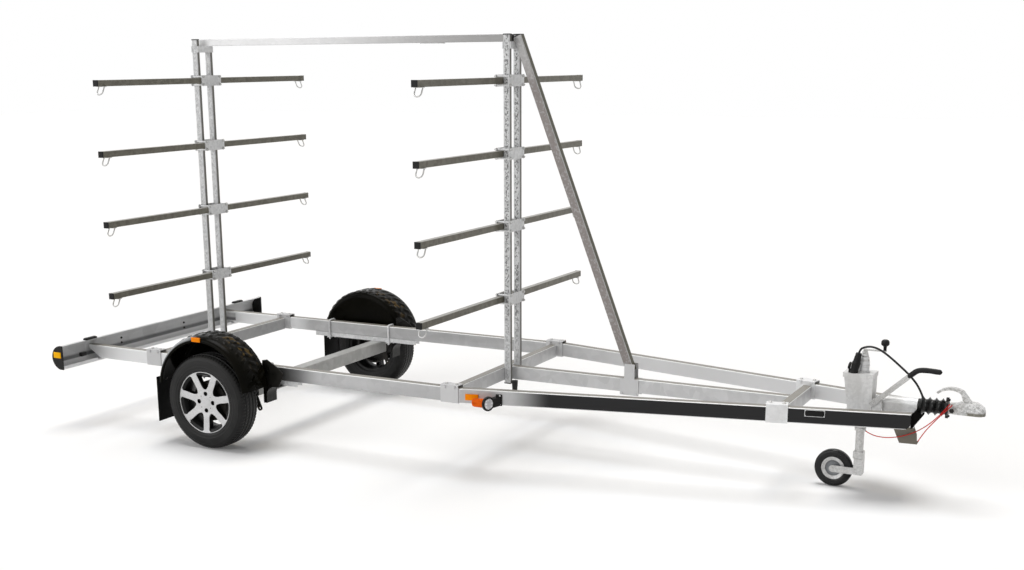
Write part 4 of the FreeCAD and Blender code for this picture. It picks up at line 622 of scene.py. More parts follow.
def mouldedFinish(look):
    # Plastic, rubber or paint: grain as bump, cloudy tone, dust on what faces up, then local colour
    material, tree, shader, where = startMaterial(look["name"], {"Specular IOR Level": look["specular"]})
    grain = addGroup(tree, "grain", where, look["grain"])
    dust = addGroup(tree, "dust", where, look["dustScale"])["Mask"]
    colour = blendColour(tree, grain["Patches"], look["dark"], look["light"])
    colour = blendColour(tree, maths(tree, "MULTIPLY", dust, look["dust"]), colour, look["dustColour"])
    feed(tree, shader.inputs["Base Color"], addLayers(tree, where, colour, look["layers"]))
    feed(tree, shader.inputs["Roughness"], remap(tree, grain["Patches"], 0.0, 1.0, *look["rough"]))
    addBump(tree, shader, grain["Height"], look["bump"], 0.0004)
    return material


def lensFinish(look):
    # Lens plastic: small pyramids as bump, deeper colour in the hollows
    plain = {"Roughness": 0.35, "Specular IOR Level": 0.06}
    material, tree, shader, where = startMaterial(look["name"], plain)
    cells = addNode(tree, "TexVoronoi", {"distance": "CHEBYCHEV"}, Vector=where, Scale=look["cells"],
                    Randomness=0.0).outputs["Distance"]
    colour = blendColour(tree, remap(tree, cells, 0.1, 0.6), look["light"], look["dark"])
    feed(tree, shader.inputs["Base Color"], colour)
    addBump(tree, shader, cells, 0.35, 0.0008)
    return material


finishes = {key: zincFinish(plainZinc | look) for key, look in zincLooks.items()}
finishes |= {key: mouldedFinish(plainMoulded | look) for key, look in mouldedLooks.items()}
finishes |= {key: lensFinish(look) for key, look in lensLooks.items()}
lookOf = {node: look for look, dressed in nodeLooks.items() for node in dressed}
for node, obj in nodes.items():
    obj.data.materials.clear()
    obj.data.materials.append(finishes[lookOf.get(node, nodeSlots[node])])
print("finishes made")


# World, floor and lamps
white = (1.0, 1.0, 1.0)
studio = {"ambient": 0.13, "ambientColour": (1.0, 0.995, 0.985), "floorGlow": 0.07, "floorHalf": 45.0,
          "floorColour": (0.92, 0.92, 0.92), "lampDistance": 8.0,
          "lamps": [{"towards": (-0.10, 0.10, 1.0), "spread": 38.0, "strength": 2.28, "tint": white},
                    {"towards": (-0.60, -0.80, 0.42), "spread": 50.0, "strength": 1.2, "tint": white},
                    {"towards": (-0.95, 0.27, 0.20), "spread": 18.0, "strength": 0.3, "tint": white},
                    {"towards": (0.03, 0.49, 0.88), "spread": 9.0, "strength": 0.12,
                     "tint": (1.0, 0.72, 0.35)}]}


def seenDirectly(tree):
    # 1 for what the camera, a reflection or glass sees, 0 for light that falls on things
    path = addNode(tree, "LightPath").outputs
    either = maths(tree, "MAXIMUM", path["Is Camera Ray"], path["Is Glossy Ray"])
    return maths(tree, "MAXIMUM", either, path["Is Transmission Ray"])


def makeStudio(look):
    world = bpy.data.worlds.new("studio")
    bpy.context.scene.world = world
    world.use_nodes = True
    tree = world.node_tree
    background = tree.nodes["Background"].inputs
    seen = seenDirectly(tree)
    feed(tree, background["Color"], blendColour(tree, seen, look["ambientColour"], white))
    strength = maths(tree, "MULTIPLY_ADD", seen, 1.0 - look["ambient"], look["ambient"])
    feed(tree, background["Strength"], strength)
    plain = {"Base Color": (*look["floorColour"], 1.0), "Roughness": 1.0, "Specular IOR Level": 0.0,
             "Emission Strength": 1.0}
    floor, tree, shader = startMaterial("floorPaper", plain)[:3]
    glow = maths(tree, "MULTIPLY", seenDirectly(tree), look["floorGlow"])
    feed(tree, shader.inputs["Emission Color"], blendColour(tree, glow, (0.0, 0.0, 0.0), white))
    half = look["floorHalf"]
    mesh = bpy.data.meshes.new("floor")
    mesh.from_pydata([(x, y, 0) for x, y in rectangle(-half, half, -half, half)], [], [(0, 1, 2, 3)])
    mesh.materials.append(floor)
    obj = bpy.data.objects.new("floor", mesh)
    bpy.context.scene.collection.objects.link(obj)
    for i, lamp in enumerate(look["lamps"]):
        data = bpy.data.lights.new("softbox%d" % i, "SUN")
        data.angle = math.radians(lamp["spread"])
        data.energy = lamp["strength"]
        data.color = lamp["tint"]
        back = unit(lamp["towards"])
        right = unit(np.cross(leftwards, back))
        softbox = bpy.data.objects.new("softbox%d" % i, data)
        standAt(softbox, right, np.cross(back, right), back, back * look["lampDistance"])


makeStudio(studio)
print("studio made")


# Cords: the routes of part.py, as control points of smooth curves
plug = {"holder": spot(3.499, -0.044, 0.628), "lean": math.radians(11), "neckLength": 0.102,
        "foot": [(0, -0.018), (0.0205, -0.018), (0.0205, 0.0)],
        "ribs": 10, "ribRadius": 0.0205, "ribDepth": 0.0010, "firstRib": 0.004, "ribPitch": 0.0035,
        "neck": [(0.0205, 0.042), (0.0205, 0.050), (0.0218, 0.051), (0.0218, 0.056), (0.0200, 0.059),
                 (0.0186, 0.062), (0.0180, 0.072), (0.0170, 0.084), (0.0158, 0.092), (0.0156, 0.102),
                 (0.0140, 0.1055), (0.0070, 0.1065), (0, 0.1065)],
        "cap": [(0, 0), (0.0165, 0), (0.0185, 0.0015), (0.0190, 0.004), (0.0190, 0.009), (0.0175, 0.0115),
                (0.012, 0.0125), (0, 0.013)],
        "capAt": (-0.0165, 0.0, 0.0345), "capFaces": (-1.0, 0, 0.22),
        "hinge": ((-0.027, -0.008, 0.0), (-0.012, 0.008, 0.020)), "hingeCorner": 0.003}
plugLean = unit((math.sin(plug["lean"]), 0, math.cos(plug["lean"])))
plugNeckEnd = plug["holder"] + plugLean * plug["neckLength"]
gland = {"root": spot(3.850, -0.027, 0.521), "length": 0.024,
         "profile": [(0, 0), (0.0085, 0), (0.0085, 0.008), (0.0072, 0.009), (0.0072, 0.012), (0.0066, 0.013),
                     (0.0066, 0.017), (0.0056, 0.018), (0.0050, 0.0238), (0, 0.0238)]}
leadApproach = spot(3.824, -0.040, 0.588)
glandWay = unit(leadApproach - gland["root"])
glandMouth = gland["root"] + glandWay * gland["length"]
headEye = spot(3.988, -0.050, 0.524)
cords = {
    "lead_cord": {"diameter": 0.011, "length": 0.463, "finish": "rubber_black", "slot": "rubber_black",
                  "lay": "hanging", "stiffness": "medium",
                  "end": "plug", "exit": glandMouth,
                  "route": [plugNeckEnd, plugNeckEnd + plugLean * 0.024, spot(3.546, -0.046, 0.766),
                            spot(3.583, -0.045, 0.772), spot(3.624, -0.044, 0.759),
                            spot(3.672, -0.044, 0.728), spot(3.724, -0.045, 0.687),
                            spot(3.778, -0.045, 0.642), leadApproach, glandMouth]},
    "breakaway_cord_long": {"diameter": 0.005, "length": 0.490, "finish": "cord_red", "slot": "cord_red",
                            "lay": "hanging", "stiffness": "medium",
                            "route": [spot(3.578, -0.040, 0.326), spot(3.608, -0.062, 0.317),
                                      spot(3.664, -0.066, 0.310), spot(3.722, -0.072, 0.318),
                                      spot(3.780, -0.074, 0.336), spot(3.836, -0.072, 0.364),
                                      spot(3.886, -0.068, 0.402), spot(3.930, -0.062, 0.448),
                                      spot(3.964, -0.054, 0.492), headEye + (-0.006, -0.002, -0.006)]},
    "breakaway_cord_short": {"diameter": 0.005, "length": 0.256, "finish": "cord_red", "slot": "cord_red",
                             "lay": "hanging", "stiffness": "medium",
                             "route": [spot(3.842, -0.058, 0.310), spot(3.856, -0.064, 0.336),
                                       spot(3.878, -0.066, 0.374), spot(3.910, -0.064, 0.416),
                                       spot(3.944, -0.060, 0.458), headEye + (0.006, -0.002, -0.010)]},
}


def makeCord(name, cord):
    data = bpy.data.curves.new(name, "CURVE")
    data.dimensions = "3D"
    data.resolution_u = 16
    data.bevel_depth = cord["diameter"] / 2
    data.bevel_resolution = 4
    data.use_fill_caps = True
    spline = data.splines.new("NURBS")
    route = np.array(cord["route"])
    spline.points.add(len(route) - 1)
    spline.points.foreach_set("co", np.hstack((route, np.ones((len(route), 1)))).ravel())
    spline.order_u = 3
    spline.use_endpoint_u = True
    data.materials.append(finishes[cord["finish"]])
    obj = bpy.data.objects.new(name + "_line", data)
    bpy.context.scene.collection.objects.link(obj)
    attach(obj, "trailer")
    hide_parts(name)
    return obj


cordObjects = {name: makeCord(name, cord) for name, cord in cords.items()}
print("cords made")


# Road tyres: walls with raised rings as (radius, width, height), four grooves round the tread, and cuts
# that repeat round the wheel in two bands as (rise from, to, fall from, to, depth's share)
tyre = {"turnSteps": 420, "wallSteps": 64, "treadSteps": 60,
        "wall": [(0.1765, 0.0705), (0.1835, 0.0750), (0.1900, 0.0780), (0.2040, 0.0812), (0.2240, 0.0825),
                 (0.2440, 0.0806), (0.2590, 0.0752), (0.2690, 0.0680), (0.2745, 0.0600)],
        "rings": [(0.1965, 0.0016, 0.0016), (0.212, 0.0012, 0.00128), (0.247, 0.002, 0.0016)],
        "crown": 0.280, "shoulder": 0.2755, "treadHalf": 0.06, "treadFrom": 0.262,
        "grooves": (-0.043, -0.0145, 0.0145, 0.043), "grooveHalf": 0.0033, "grooveDepth": 0.0068,
        "cuts": 84, "cutSlant": 1.1, "cutDepth": 0.0035, "cutEdge": (0.45, 0.85),
        "cutBands": [(0.045, 0.049, 0.068, 0.074, 1.0), (0.018, 0.021, 0.036, 0.040, 0.6)],
        "inside": [(0.262, -0.050), (0.262, 0.050)]}


def smoothStep(x, low, high):
    t = np.clip((x - low) / (high - low), 0, 1)
    return t * t * (3 - 2 * t)


def tyreShape(centreY, look):
    # Outer section (radius, across): a spline for each wall and a crown between them. The tread's
    # radius drops by smooth grooves of the distance across and by the cuts
    wall = splineThrough(look["wall"], look["wallSteps"])
    for at, width, height in look["rings"]:
        wall[:, 1] += height * np.exp(-((wall[:, 0] - at) / width) ** 2)
    across = np.linspace(wall[-1, 1], -wall[-1, 1], look["treadSteps"] + 2)[1:-1]
    crown = look["crown"] - (look["crown"] - look["shoulder"]) * (across / look["treadHalf"]) ** 4
    section = np.vstack((wall, np.stack((crown, across), -1), wall[::-1] * (1, -1), look["inside"]))
    angle = np.linspace(0, 2 * math.pi, look["turnSteps"], endpoint=False)[:, None]
    radius, y = section[None, :, 0], section[None, :, 1]
    aside = np.abs(y)
    fromGroove = np.abs(y[..., None] - look["grooves"]).min(-1)
    half = look["grooveHalf"]
    groove = look["grooveDepth"] * (1 - smoothStep(fromGroove, half * 0.6, half * 1.3))
    wave = np.cos(look["cuts"] * (angle + look["cutSlant"] * aside))
    share = sum(part * smoothStep(aside, a, b) * (1 - smoothStep(aside, c, d))
                for a, b, c, d, part in look["cutBands"])
    cut = look["cutDepth"] * smoothStep(wave, *look["cutEdge"]) * share
    r = radius - np.maximum(groove, cut) * (radius > look["treadFrom"])
    points = np.stack((axisX + r * np.cos(angle), centreY + y + 0 * angle, axisZ + r * np.sin(angle)), -1)
    return gridShape(points, loopAlong=True, loopAcross=True)


for side, sign in (("left", 1), ("right", -1)):
    makePiece("tyre_tread_" + side, tyreShape(sign * axisY, tyre), "tyre", "wheel_" + side,
              replaces=["tyre_" + side], smoothBelow=50)
print("tyres made")


# Rims: seven spokes that flare to a thin bright ring, black windows and barrel, four bolt wells
rim = {"spokes": 7, "lugs": 4, "plane": 0.0785, "turnSteps": 120, "windowCentre": 0.122,
       "sector": (0.062, 0.1778),
       "window": [(0.1762, 0.0), (0.1762, 6.0), (0.1760, 12.0), (0.1742, 16.8), (0.1670, 18.6),
                  (0.1480, 17.4), (0.1270, 16.2), (0.1090, 14.9), (0.0950, 13.0), (0.0845, 9.8),
                  (0.0775, 5.2), (0.0750, 0.0)],
       "faceAt": [(0.0, -0.0150), (0.060, -0.0145), (0.090, -0.0100), (0.130, -0.0080), (0.160, -0.0052),
                  (0.1778, -0.0030)],
       "edgeRound": 0.0040, "edgeDrop": 0.0022, "wallDepth": 0.034, "lugCircle": 0.050, "lugHole": 0.0135,
       "spokeTurn": -90.0,
       "hub": {"sector": (0.0320, 0.0660), "level": -0.0138, "edgeDrop": 0.0012, "edgeRound": 0.0015,
               "wallDepth": 0.024},
       "cap": [(0.0322, -0.018), (0.0322, -0.0130), (0.0310, -0.0122), (0.0275, -0.0126), (0.0262, -0.0116),
               (0.012, -0.0108), (0.0, -0.0106)],
       "step": [(0.0660, -0.0138), (0.0666, -0.0160)],
       "dot": [(0, -0.0148), (0.0028, -0.0148), (0.0028, -0.0134), (0.0020, -0.0132), (0, -0.0132)],
       "dotCircle": 0.046,
       "bolt": [(0, -0.026), (0.0070, -0.026), (0.0075, -0.027), (0.0075, -0.038)],
       "barrel": [(0.1778, -0.0030), (0.1786, -0.0008), (0.1802, 0.0), (0.1818, -0.0010),
                  (0.1820, -0.0050), (0.1740, -0.0100), (0.1650, -0.0160), (0.1600, -0.0300),
                  (0.1545, -0.0420), (0.1545, -0.0900), (0.1660, -0.1100), (0.1680, -0.1330),
                  (0.1818, -0.1360), (0.1818, -0.1400), (0.1700, -0.1395), (0.1610, -0.1340),
                  (0.1600, -0.1120), (0.1490, -0.0920), (0.1490, -0.0420), (0.1560, -0.0280),
                  (0.1620, -0.0120), (0.1685, -0.0090)],
       "brightRings": 5}
panelSteps = 16
panelShares = (0, 0.04, 0.09, 0.16, 0.26, 0.42, 0.68, 1.0)


def panelAround(hole, bounds, halfAngle, centre, look, faceLevel):
    # One sector of a disc with a hole. Rings go from the hole's edge to the sector's edge, and each ring
    # point is matched by its direction from the hole's centre, in (angle, radius) scaled to the sector
    halfRange = (bounds[1] - bounds[0]) / 2
    middle = (bounds[0] + bounds[1]) / 2
    side = np.linspace(-1, 1, panelSteps + 1)[:-1]
    edge = np.stack((side, -np.ones(panelSteps)), -1)
    square = np.concatenate((edge, edge[:, ::-1] * (-1, 1), -edge, edge[:, ::-1] * (1, -1)))
    border = np.stack((middle + square[:, 1] * halfRange, square[:, 0] * halfAngle), -1)

    def direction(p):
        return np.arctan2((p[:, 0] - centre) / halfRange, p[:, 1] / halfAngle)

    holeTurn = direction(hole)
    order = np.argsort(holeTurn)
    want = direction(border)
    inner = [np.interp(want, holeTurn[order], hole[order, k], period=2 * math.pi) for k in (0, 1)]
    inner = np.stack(inner, -1)
    polar = inner + (border - inner) * np.array(panelShares)[:, None, None]
    flat = np.stack((polar[..., 0] * np.cos(polar[..., 1]), polar[..., 0] * np.sin(polar[..., 1])), -1)
    apart = np.linalg.norm(flat - flat[:1], axis=-1)
    drop = look["edgeDrop"] * (1 - np.clip(apart / look["edgeRound"], 0, 1)) ** 2
    height = faceLevel(polar[..., 0]) - drop
    face = np.concatenate((flat, height[..., None]), -1)
    depth = np.linspace(0, look["wallDepth"], 5)[:, None, None] * np.array((0, 0, -1.0))
    wall = face[:1] + depth
    wall[..., :2] *= (1 + np.linspace(0, 0.02, 5))[:, None, None]
    return joined([gridShape(face, loopAcross=True), gridShape(wall, loopAcross=True, material=1)])


def onCircle(profile, radius, start, count, steps):
    # Small turned shapes, evenly spaced on a circle in the wheel's plane
    angles = start + np.arange(count) * 2 * math.pi / count
    return [turned(profile, (radius * math.cos(a), radius * math.sin(a), 0), upwards, steps) for a in angles]


def rimShape(sign, look):
    levels = np.array(look["faceAt"])
    hub = look["hub"]

    def spokeLevel(r):
        return np.interp(r, levels[:, 0], levels[:, 1])

    def hubLevel(r):
        return hub["level"] + 0 * r

    half = np.array([(r, math.radians(a)) for r, a in look["window"]])
    outline = splineThrough(np.vstack((half, half[-2:0:-1] * (1, -1))), 300, closed=True)
    halfSpoke = math.pi / look["spokes"]
    window = panelAround(outline, look["sector"], halfSpoke, look["windowCentre"], look, spokeLevel)
    turn = np.linspace(0, 2 * math.pi, look["turnSteps"], endpoint=False)
    x = look["lugCircle"] + look["lugHole"] * np.cos(turn)
    y = look["lugHole"] * np.sin(turn)
    lugHole = np.stack((np.hypot(x, y), np.arctan2(y, x)), -1)
    lug = panelAround(lugHole, hub["sector"], math.pi / look["lugs"], look["lugCircle"], hub, hubLevel)
    shapes = [turnedAbout(window, origin, upwards, look["spokeTurn"] + 360 * (i + 0.5) / look["spokes"])
              for i in range(look["spokes"])]
    shapes += [turnedAbout(lug, origin, upwards, 360 * i / look["lugs"]) for i in range(look["lugs"])]
    cap = turned(look["cap"], origin, upwards, 48)
    step = turned(look["step"], origin, upwards, 96)
    dots = onCircle(look["dot"], look["dotCircle"], math.pi / 4, 4, 12)
    bolts = onCircle(look["bolt"], look["lugCircle"], 0, look["lugs"], 6)
    rings = [np.stack((r * np.cos(turn), r * np.sin(turn), h + 0 * turn), -1) for r, h in look["barrel"]]
    barrelPoints, barrelBlocks = gridShape(np.stack(rings), loopAcross=True, loopAlong=True)
    quads = barrelBlocks[0][0]
    bright = quads.max(axis=1) < look["brightRings"] * len(turn)
    barrel = (barrelPoints, [(quads[bright], 0), (quads[~bright], 1)])
    points, blocks = joined(shapes + [cap, step] + [inMaterial(b, 2) for b in bolts + dots] + [barrel])
    # From the wheel's own frame, face up, to the side of the trailer that it stands on
    out = axisY + look["plane"] + points[:, 2]
    return np.stack((axisX + points[:, 0], sign * out, axisZ + points[:, 1]), -1), blocks


for side, sign in (("left", 1), ("right", -1)):
    makePiece("rim_spokes_" + side, rimShape(sign, rim), ["rim_alloy", "black_plastic", "drum_iron"],
              "wheel_" + side, replaces=["rim_" + side], smoothBelow=30)
print("rims made")


# Mudguards: a crowned shell with rows of raised lugs, a rolled lip and a wall towards the rails
guard = {"centreX": -0.012, "centreZ": 0.340, "radius": 0.334, "sink": 0.0030, "endZ": 0.372,
         "arcSteps": 300, "sectionSteps": 76,
         "section": [(0.7385, -0.052), (0.7395, -0.034), (0.7440, -0.018), (0.7540, -0.007),
                     (0.7700, -0.0022), (0.8000, -0.0005), (0.8500, 0.0), (0.9000, -0.0008),
                     (0.9300, -0.0035), (0.9460, -0.0080), (0.9570, -0.0145), (0.9630, -0.0225),
                     (0.9645, -0.0320), (0.9625, -0.0365), (0.9590, -0.0375)],
         "lugColumns": (0.780, 0.836, 0.892), "lugHalf": 0.023, "lugPitch": 0.054, "lugDepth": 0.0042,
         "lugSlant": 0.45, "lugEdge": (-0.15, 0.65), "lugFade": (0.16, 0.26), "sheet": 0.003}


def guardShape(look):
    # Arc angle along, section across; lugs lift the shell where a column band meets a pulse along the arc
    section = splineThrough(look["section"], look["sectionSteps"])
    start = math.asin((look["endZ"] - look["centreZ"]) / look["radius"])
    angle = np.linspace(math.pi - start, start, look["arcSteps"])[:, None]
    y = section[None, :, 0]
    half = look["lugHalf"]
    lift = 0
    for i, column in enumerate(look["lugColumns"]):
        slanted = angle * look["radius"] + (-1) ** i * look["lugSlant"] * (y - column)
        wave = smoothStep(np.cos(2 * math.pi * slanted / look["lugPitch"] + math.pi * i), *look["lugEdge"])
        lift = lift + wave * (1 - smoothStep(np.abs(y - column), half * 0.7, half * 1.1))
    lift = look["lugDepth"] * lift * smoothStep(np.sin(angle), *look["lugFade"])

    def skin(line, raised):
        # The line carried along the arc, each side starting at a foot level with the guard's ends
        r = look["radius"] - look["sink"] + line[None, :, 1] + raised
        x = axisX + look["centreX"] + r * np.cos(angle)
        z = look["centreZ"] + r * np.sin(angle)
        sheet = np.stack((x, line[None, :, 0] + 0 * angle, z), -1)
        foot = sheet[:, :1].copy()
        foot[..., 2] = look["endZ"]
        rise = np.linspace(0, 1, 9)[None, :-1, None]
        return np.concatenate((foot + (sheet[:, :1] - foot) * rise, sheet), 1)

    # The underside is plain, one sheet in from the section
    along = unit(np.gradient(section, axis=0))
    inside = section + look["sheet"] * np.stack((along[:, 1], -along[:, 0]), -1)
    whole = np.concatenate((skin(section, lift), skin(inside, 0)[:, ::-1]), 1)
    return gridShape(whole, loopAcross=True, capEnds=True)


leftGuard = guardShape(guard)
for side, shape in (("left", leftGuard), ("right", mirrored(leftGuard))):
    makePiece("mudguard_shell_" + side, shape, "guard_plastic",
              replaces=["mudguard_" + side], smoothBelow=60)
print("mudguards made")


# Bellows with its collar and the cable's gland
bellows = {"rear": 3.826, "front": 3.955, "peak": 0.046, "valley": 0.033, "folds": 4, "height": 0.485,
           "bore": 0.0255, "steps": 121,
           "collar": [(0.0255, 0.0), (0.038, 0.0), (0.0415, 0.002), (0.042, 0.004), (0.042, 0.010),
                      (0.0405, 0.013), (0.036, 0.014), (0.0255, 0.014)],
           "ear": [(0, 0), (0.011, 0), (0.012, 0.001), (0.012, 0.013), (0.011, 0.014), (0, 0.014)],
           "earBolt": [(0.006, 0.014), (0.006, 0.019), (0.005, 0.020), (0, 0.020)], "earHeight": 0.042}


def bellowsShape(look):
    # Radius swings between valley and peak along the length, with wide round valleys and narrow peaks
    t = np.linspace(0, 1, look["steps"])
    swing = 1 - np.abs(np.cos(math.pi * look["folds"] * t)) ** 0.8
    length = look["front"] - look["rear"]
    folds = np.stack((look["valley"] + (look["peak"] - look["valley"]) * swing, length * t), -1)
    profile = np.vstack((folds, [(look["bore"], length), (look["bore"], 0.0)]))
    skin = turned(profile, spot(look["rear"], 0, look["height"]), forwards, 64, closed=True)
    mouth = spot(look["front"], 0, look["height"])
    shapes = [skin, turned(look["collar"], mouth, forwards, 64, closed=True),
              turned(gland["profile"], gland["root"], glandWay, 24)]
    for z in (-look["earHeight"], look["earHeight"]):
        shapes.append(turned(look["ear"], mouth + (0, 0, z), forwards, 28))
        shapes.append(turned(look["earBolt"], mouth + (0, 0, z), forwards, 6))
    return joined(shapes)


makePiece("bellows_folds", bellowsShape(bellows), "rubber_black", replaces=["bellows"], smoothBelow=60)
print("bellows made")


# Plug parked on the jockey housing, with its cap hinged up behind it
def plugShape(look):
    holder = look["holder"]
    ribs = [(look["ribRadius"] - look["ribDepth"] * (i % 2), look["firstRib"] + look["ribPitch"] * i)
            for i in range(look["ribs"])]
    body = turned(look["foot"] + ribs + look["neck"], holder, plugLean, 36)
    sunk = body[0][:, 2] < holder[2]
    body[0][sunk, 2] = holder[2]
    cap = turned(look["cap"], holder + look["capAt"], look["capFaces"], 32)
    low, high = look["hinge"]
    return joined([body, cap, roundBox(holder + low, holder + high, look["hingeCorner"])])


plugPiece = makePiece("plug_body", plugShape(plug), "black_plastic", replaces=["plug"], smoothBelow=40)
print("plug made")


# Lashing loops: round wire bent into a long U under a small plate at each arm's end
loop = {"wire": 0.0038, "width": 0.042, "drop": 0.050, "inset": 0.045, "lean": 0.016, "plate": 0.034,
        "sheet": 0.003, "margin": 0.003, "corner": 0.001}
armHeight = 0.035
armShares = (0.0, 0.3421, 0.6735, 1.0)
frontArmsLow, frontArmsHigh = corners("arms_front")
armEnd = frontArmsHigh[1]
armX = {end: np.mean(corners("arms_" + end), 0)[0] for end in ("front", "rear")}
armSpan = frontArmsHigh[2] - armHeight - frontArmsLow[2]
armLevels = [frontArmsLow[2] + share * armSpan for share in armShares]


def loopShape(x, level, look):
    half = look["width"] / 2
    top = level - look["sheet"]
    y = armEnd - look["inset"]
    leg = look["drop"] - half
    down = unit((0, look["lean"], -leg))
    start = np.array((x, y, top))
    straight = np.linspace(0, leg, 4)[:, None] * down
    turn = np.linspace(0, math.pi, 17)[1:-1, None]
    bend = down * leg + np.array((-1.0, 0, 0)) * half * np.cos(turn) + down * half * np.sin(turn)
    path = start + np.vstack((straight + (-half, 0, 0), bend, straight[::-1] + (half, 0, 0)))
    wire = swept(path, circle(look["wire"], 12), np.cross(down, forwards))
    reach = half + look["margin"]
    deep = look["plate"] / 2
    plate = roundBox((x - reach, y - deep, top), (x + reach, y + deep, level), look["corner"], 2)
    return joined([wire, plate])


for end in ("front", "rear"):
    shapes = [bothSides(loopShape(armX[end], level, loop)) for level in armLevels]
    makePiece("lashing_wire_" + end, joined(shapes), "zinc_plated", slot="galvanised",
              replaces=["lashing_loops_" + end], smoothBelow=50)
print("lashing loops made")


# Bolts: washer, hexagon and the thread's end, as (profile in thread radii, steps round)
boltParts = [([(0, 0), (2.1, 0), (2.1, 0.28), (0, 0.28)], 18),
             ([(1.7, 0.28), (1.85, 0.45), (1.85, 1.5), (1.55, 1.75), (0, 1.75)], 6),
             ([(1, 1.7), (1, 2.5), (0.8, 2.7), (0, 2.7)], 14)]
rack = {"plateHalf": 0.093, "boltIn": 0.014, "plateHeight": 0.064, "boltDown": 0.008, "sunk": 0.008,
        "boltSize": 0.0045}


def boltShape(centre, axis, size):
    return joined([turned(np.array(profile) * size, centre, axis, steps) for profile, steps in boltParts])


def rackBolts(end, look):
    low, high = corners("rack_clamps_" + end)
    across = look["plateHalf"] - look["boltIn"]
    upright = look["plateHeight"] / 2 - look["boltDown"]
    places = [(y, level + armHeight / 2 + z)
              for level in armLevels for y in (-across, across) for z in (-upright, upright)]
    faces = ((high[0] - look["sunk"], forwards), (low[0] + look["sunk"], (-1, 0, 0)))
    return joined([boltShape((x, y, z), axis, look["boltSize"]) for y, z in places for x, axis in faces])


for end in ("front", "rear"):
    makePiece("rack_nuts_" + end, rackBolts(end, rack), "zinc_plated")
print("rack nuts made")


# Handbrake grip, crank knob
grip = {"bend": [(3.770, 0.633), (3.792, 0.653), (3.812, 0.669), (3.836, 0.6765), (3.875, 0.6775),
                 (3.910, 0.6755), (3.9350, 0.6745)],
        "y": -0.058, "half": (0.0115, 0.0136), "steps": 60, "fingers": 3, "fingersFrom": 0.35, "swell": 0.02,
        "endTaper": 14}
knob = {"profile": [(0, 0), (0.008, 0), (0.0085, 0.018), (0.0105, 0.023), (0.0165, 0.027), (0.0205, 0.032),
                    (0.0210, 0.040), (0.0200, 0.047), (0.0165, 0.0535), (0.010, 0.0570), (0, 0.058)]}


def gripShape(look):
    # Flattened section along a bent line, swelling and narrowing for the fingers
    line = splineThrough(look["bend"], look["steps"])
    path = np.stack((line[:, 0] + axisX, np.full(look["steps"], look["y"]), line[:, 1]), -1)
    angle = np.linspace(0, 2 * math.pi, 24, endpoint=False)[None, :, None]
    t = np.linspace(0, 1, look["steps"])
    held = np.clip(t - look["fingersFrom"], 0, 1) / (1 - look["fingersFrom"])
    swell = 1 + look["swell"] * np.cos(2 * math.pi * look["fingers"] * held)
    swell *= np.minimum(1, np.sqrt(np.clip(t * look["endTaper"], 0.05, 1)))
    swell *= np.minimum(1, np.sqrt(np.clip((1 - t) * look["endTaper"], 0.02, 1)))
    inPlane = np.cross(leftwards, unit(np.gradient(path, axis=0)))[:, None]
    wide = np.cos(angle) * look["half"][0] * np.array(leftwards)
    high = np.sin(angle) * look["half"][1] * inPlane
    return gridShape(path[:, None] + (wide + high) * swell[:, None, None], loopAcross=True, capEnds=True)


makePiece("handbrake_handle", gripShape(grip), "black_plastic", replaces=["handbrake_grip"], smoothBelow=60)
low, high = corners("crank_knob")
knobCentre = ((low[0] + high[0]) / 2, (low[1] + high[1]) / 2, low[2])
makePiece("crank_handle", turned(knob["profile"], knobCentre, upwards, 36), "black_plastic",
          replaces=["crank_knob"], smoothBelow=60)
print("grips made")


# Jockey wheel: solid tyre with one groove on a dished bright rim, both the same on their two sides.
# The disc goes from its rolled edge by a step and a dished web to the hub's boss
jockey = {"tyreHalf": [(0.0590, 0.017), (0.066, 0.0200), (0.080, 0.0215), (0.091, 0.0200), (0.0975, 0.0150),
                       (0.0995, 0.0060)],
          "crown": 0.0998, "grooveDepth": 0.0012, "grooveHalf": 0.0022, "grooveFrom": 0.09,
          "sectionSteps": 49,
          "disc": [(0.0081, 0.0215), (0.0150, 0.0215), (0.0165, 0.0200), (0.0172, 0.0120), (0.0200, 0.0095),
                   (0.0290, 0.0080), (0.0350, 0.0085), (0.0390, 0.0105), (0.0425, 0.0150), (0.0470, 0.0165),
                   (0.0530, 0.0170), (0.0560, 0.0190), (0.0585, 0.0200), (0.0605, 0.0190), (0.0610, 0.0150)]}


def jockeyTyreShape(look):
    half = np.array(look["tyreHalf"])
    controls = np.vstack((half, [(look["crown"], 0.0)], half[::-1] * (1, -1)))
    section = splineThrough(controls, look["sectionSteps"])
    groove = look["grooveDepth"] * np.exp(-(section[:, 1] / look["grooveHalf"]) ** 2)
    section[:, 0] -= groove * (section[:, 0] > look["grooveFrom"])
    return turned(section, jockeyHub, leftwards, 72, closed=True)


def jockeyRimShape(look):
    half = np.array(look["disc"])
    return turned(np.vstack((half, half[::-1] * (1, -1))), jockeyHub, leftwards, 60, closed=True)


makePiece("jockey_tread", jockeyTyreShape(jockey), "rubber_black", "jockey_wheel",
          replaces=["jockey_tyre"], smoothBelow=50)
makePiece("jockey_dish", jockeyRimShape(jockey), "jockey_zinc", "jockey_wheel", slot="zinc_plated",
          replaces=["jockey_rim"], smoothBelow=30)
print("jockey wheel made")


# Reflectors: lenses with rounded edges on the mudguards, the rails and the light bar's ends
lens = {"guardRear": -0.058, "guardFront": 0.004, "guardDepth": 0.007, "guardHeight": 0.026,
        "railLow": (-0.037, 0.0, -0.017), "railHigh": (0.037, 0.006, 0.017), "railX": 1.615, "railZ": 0.429,
        "corner": 0.002, "barDepth": 0.004, "barCorner": 0.0018}


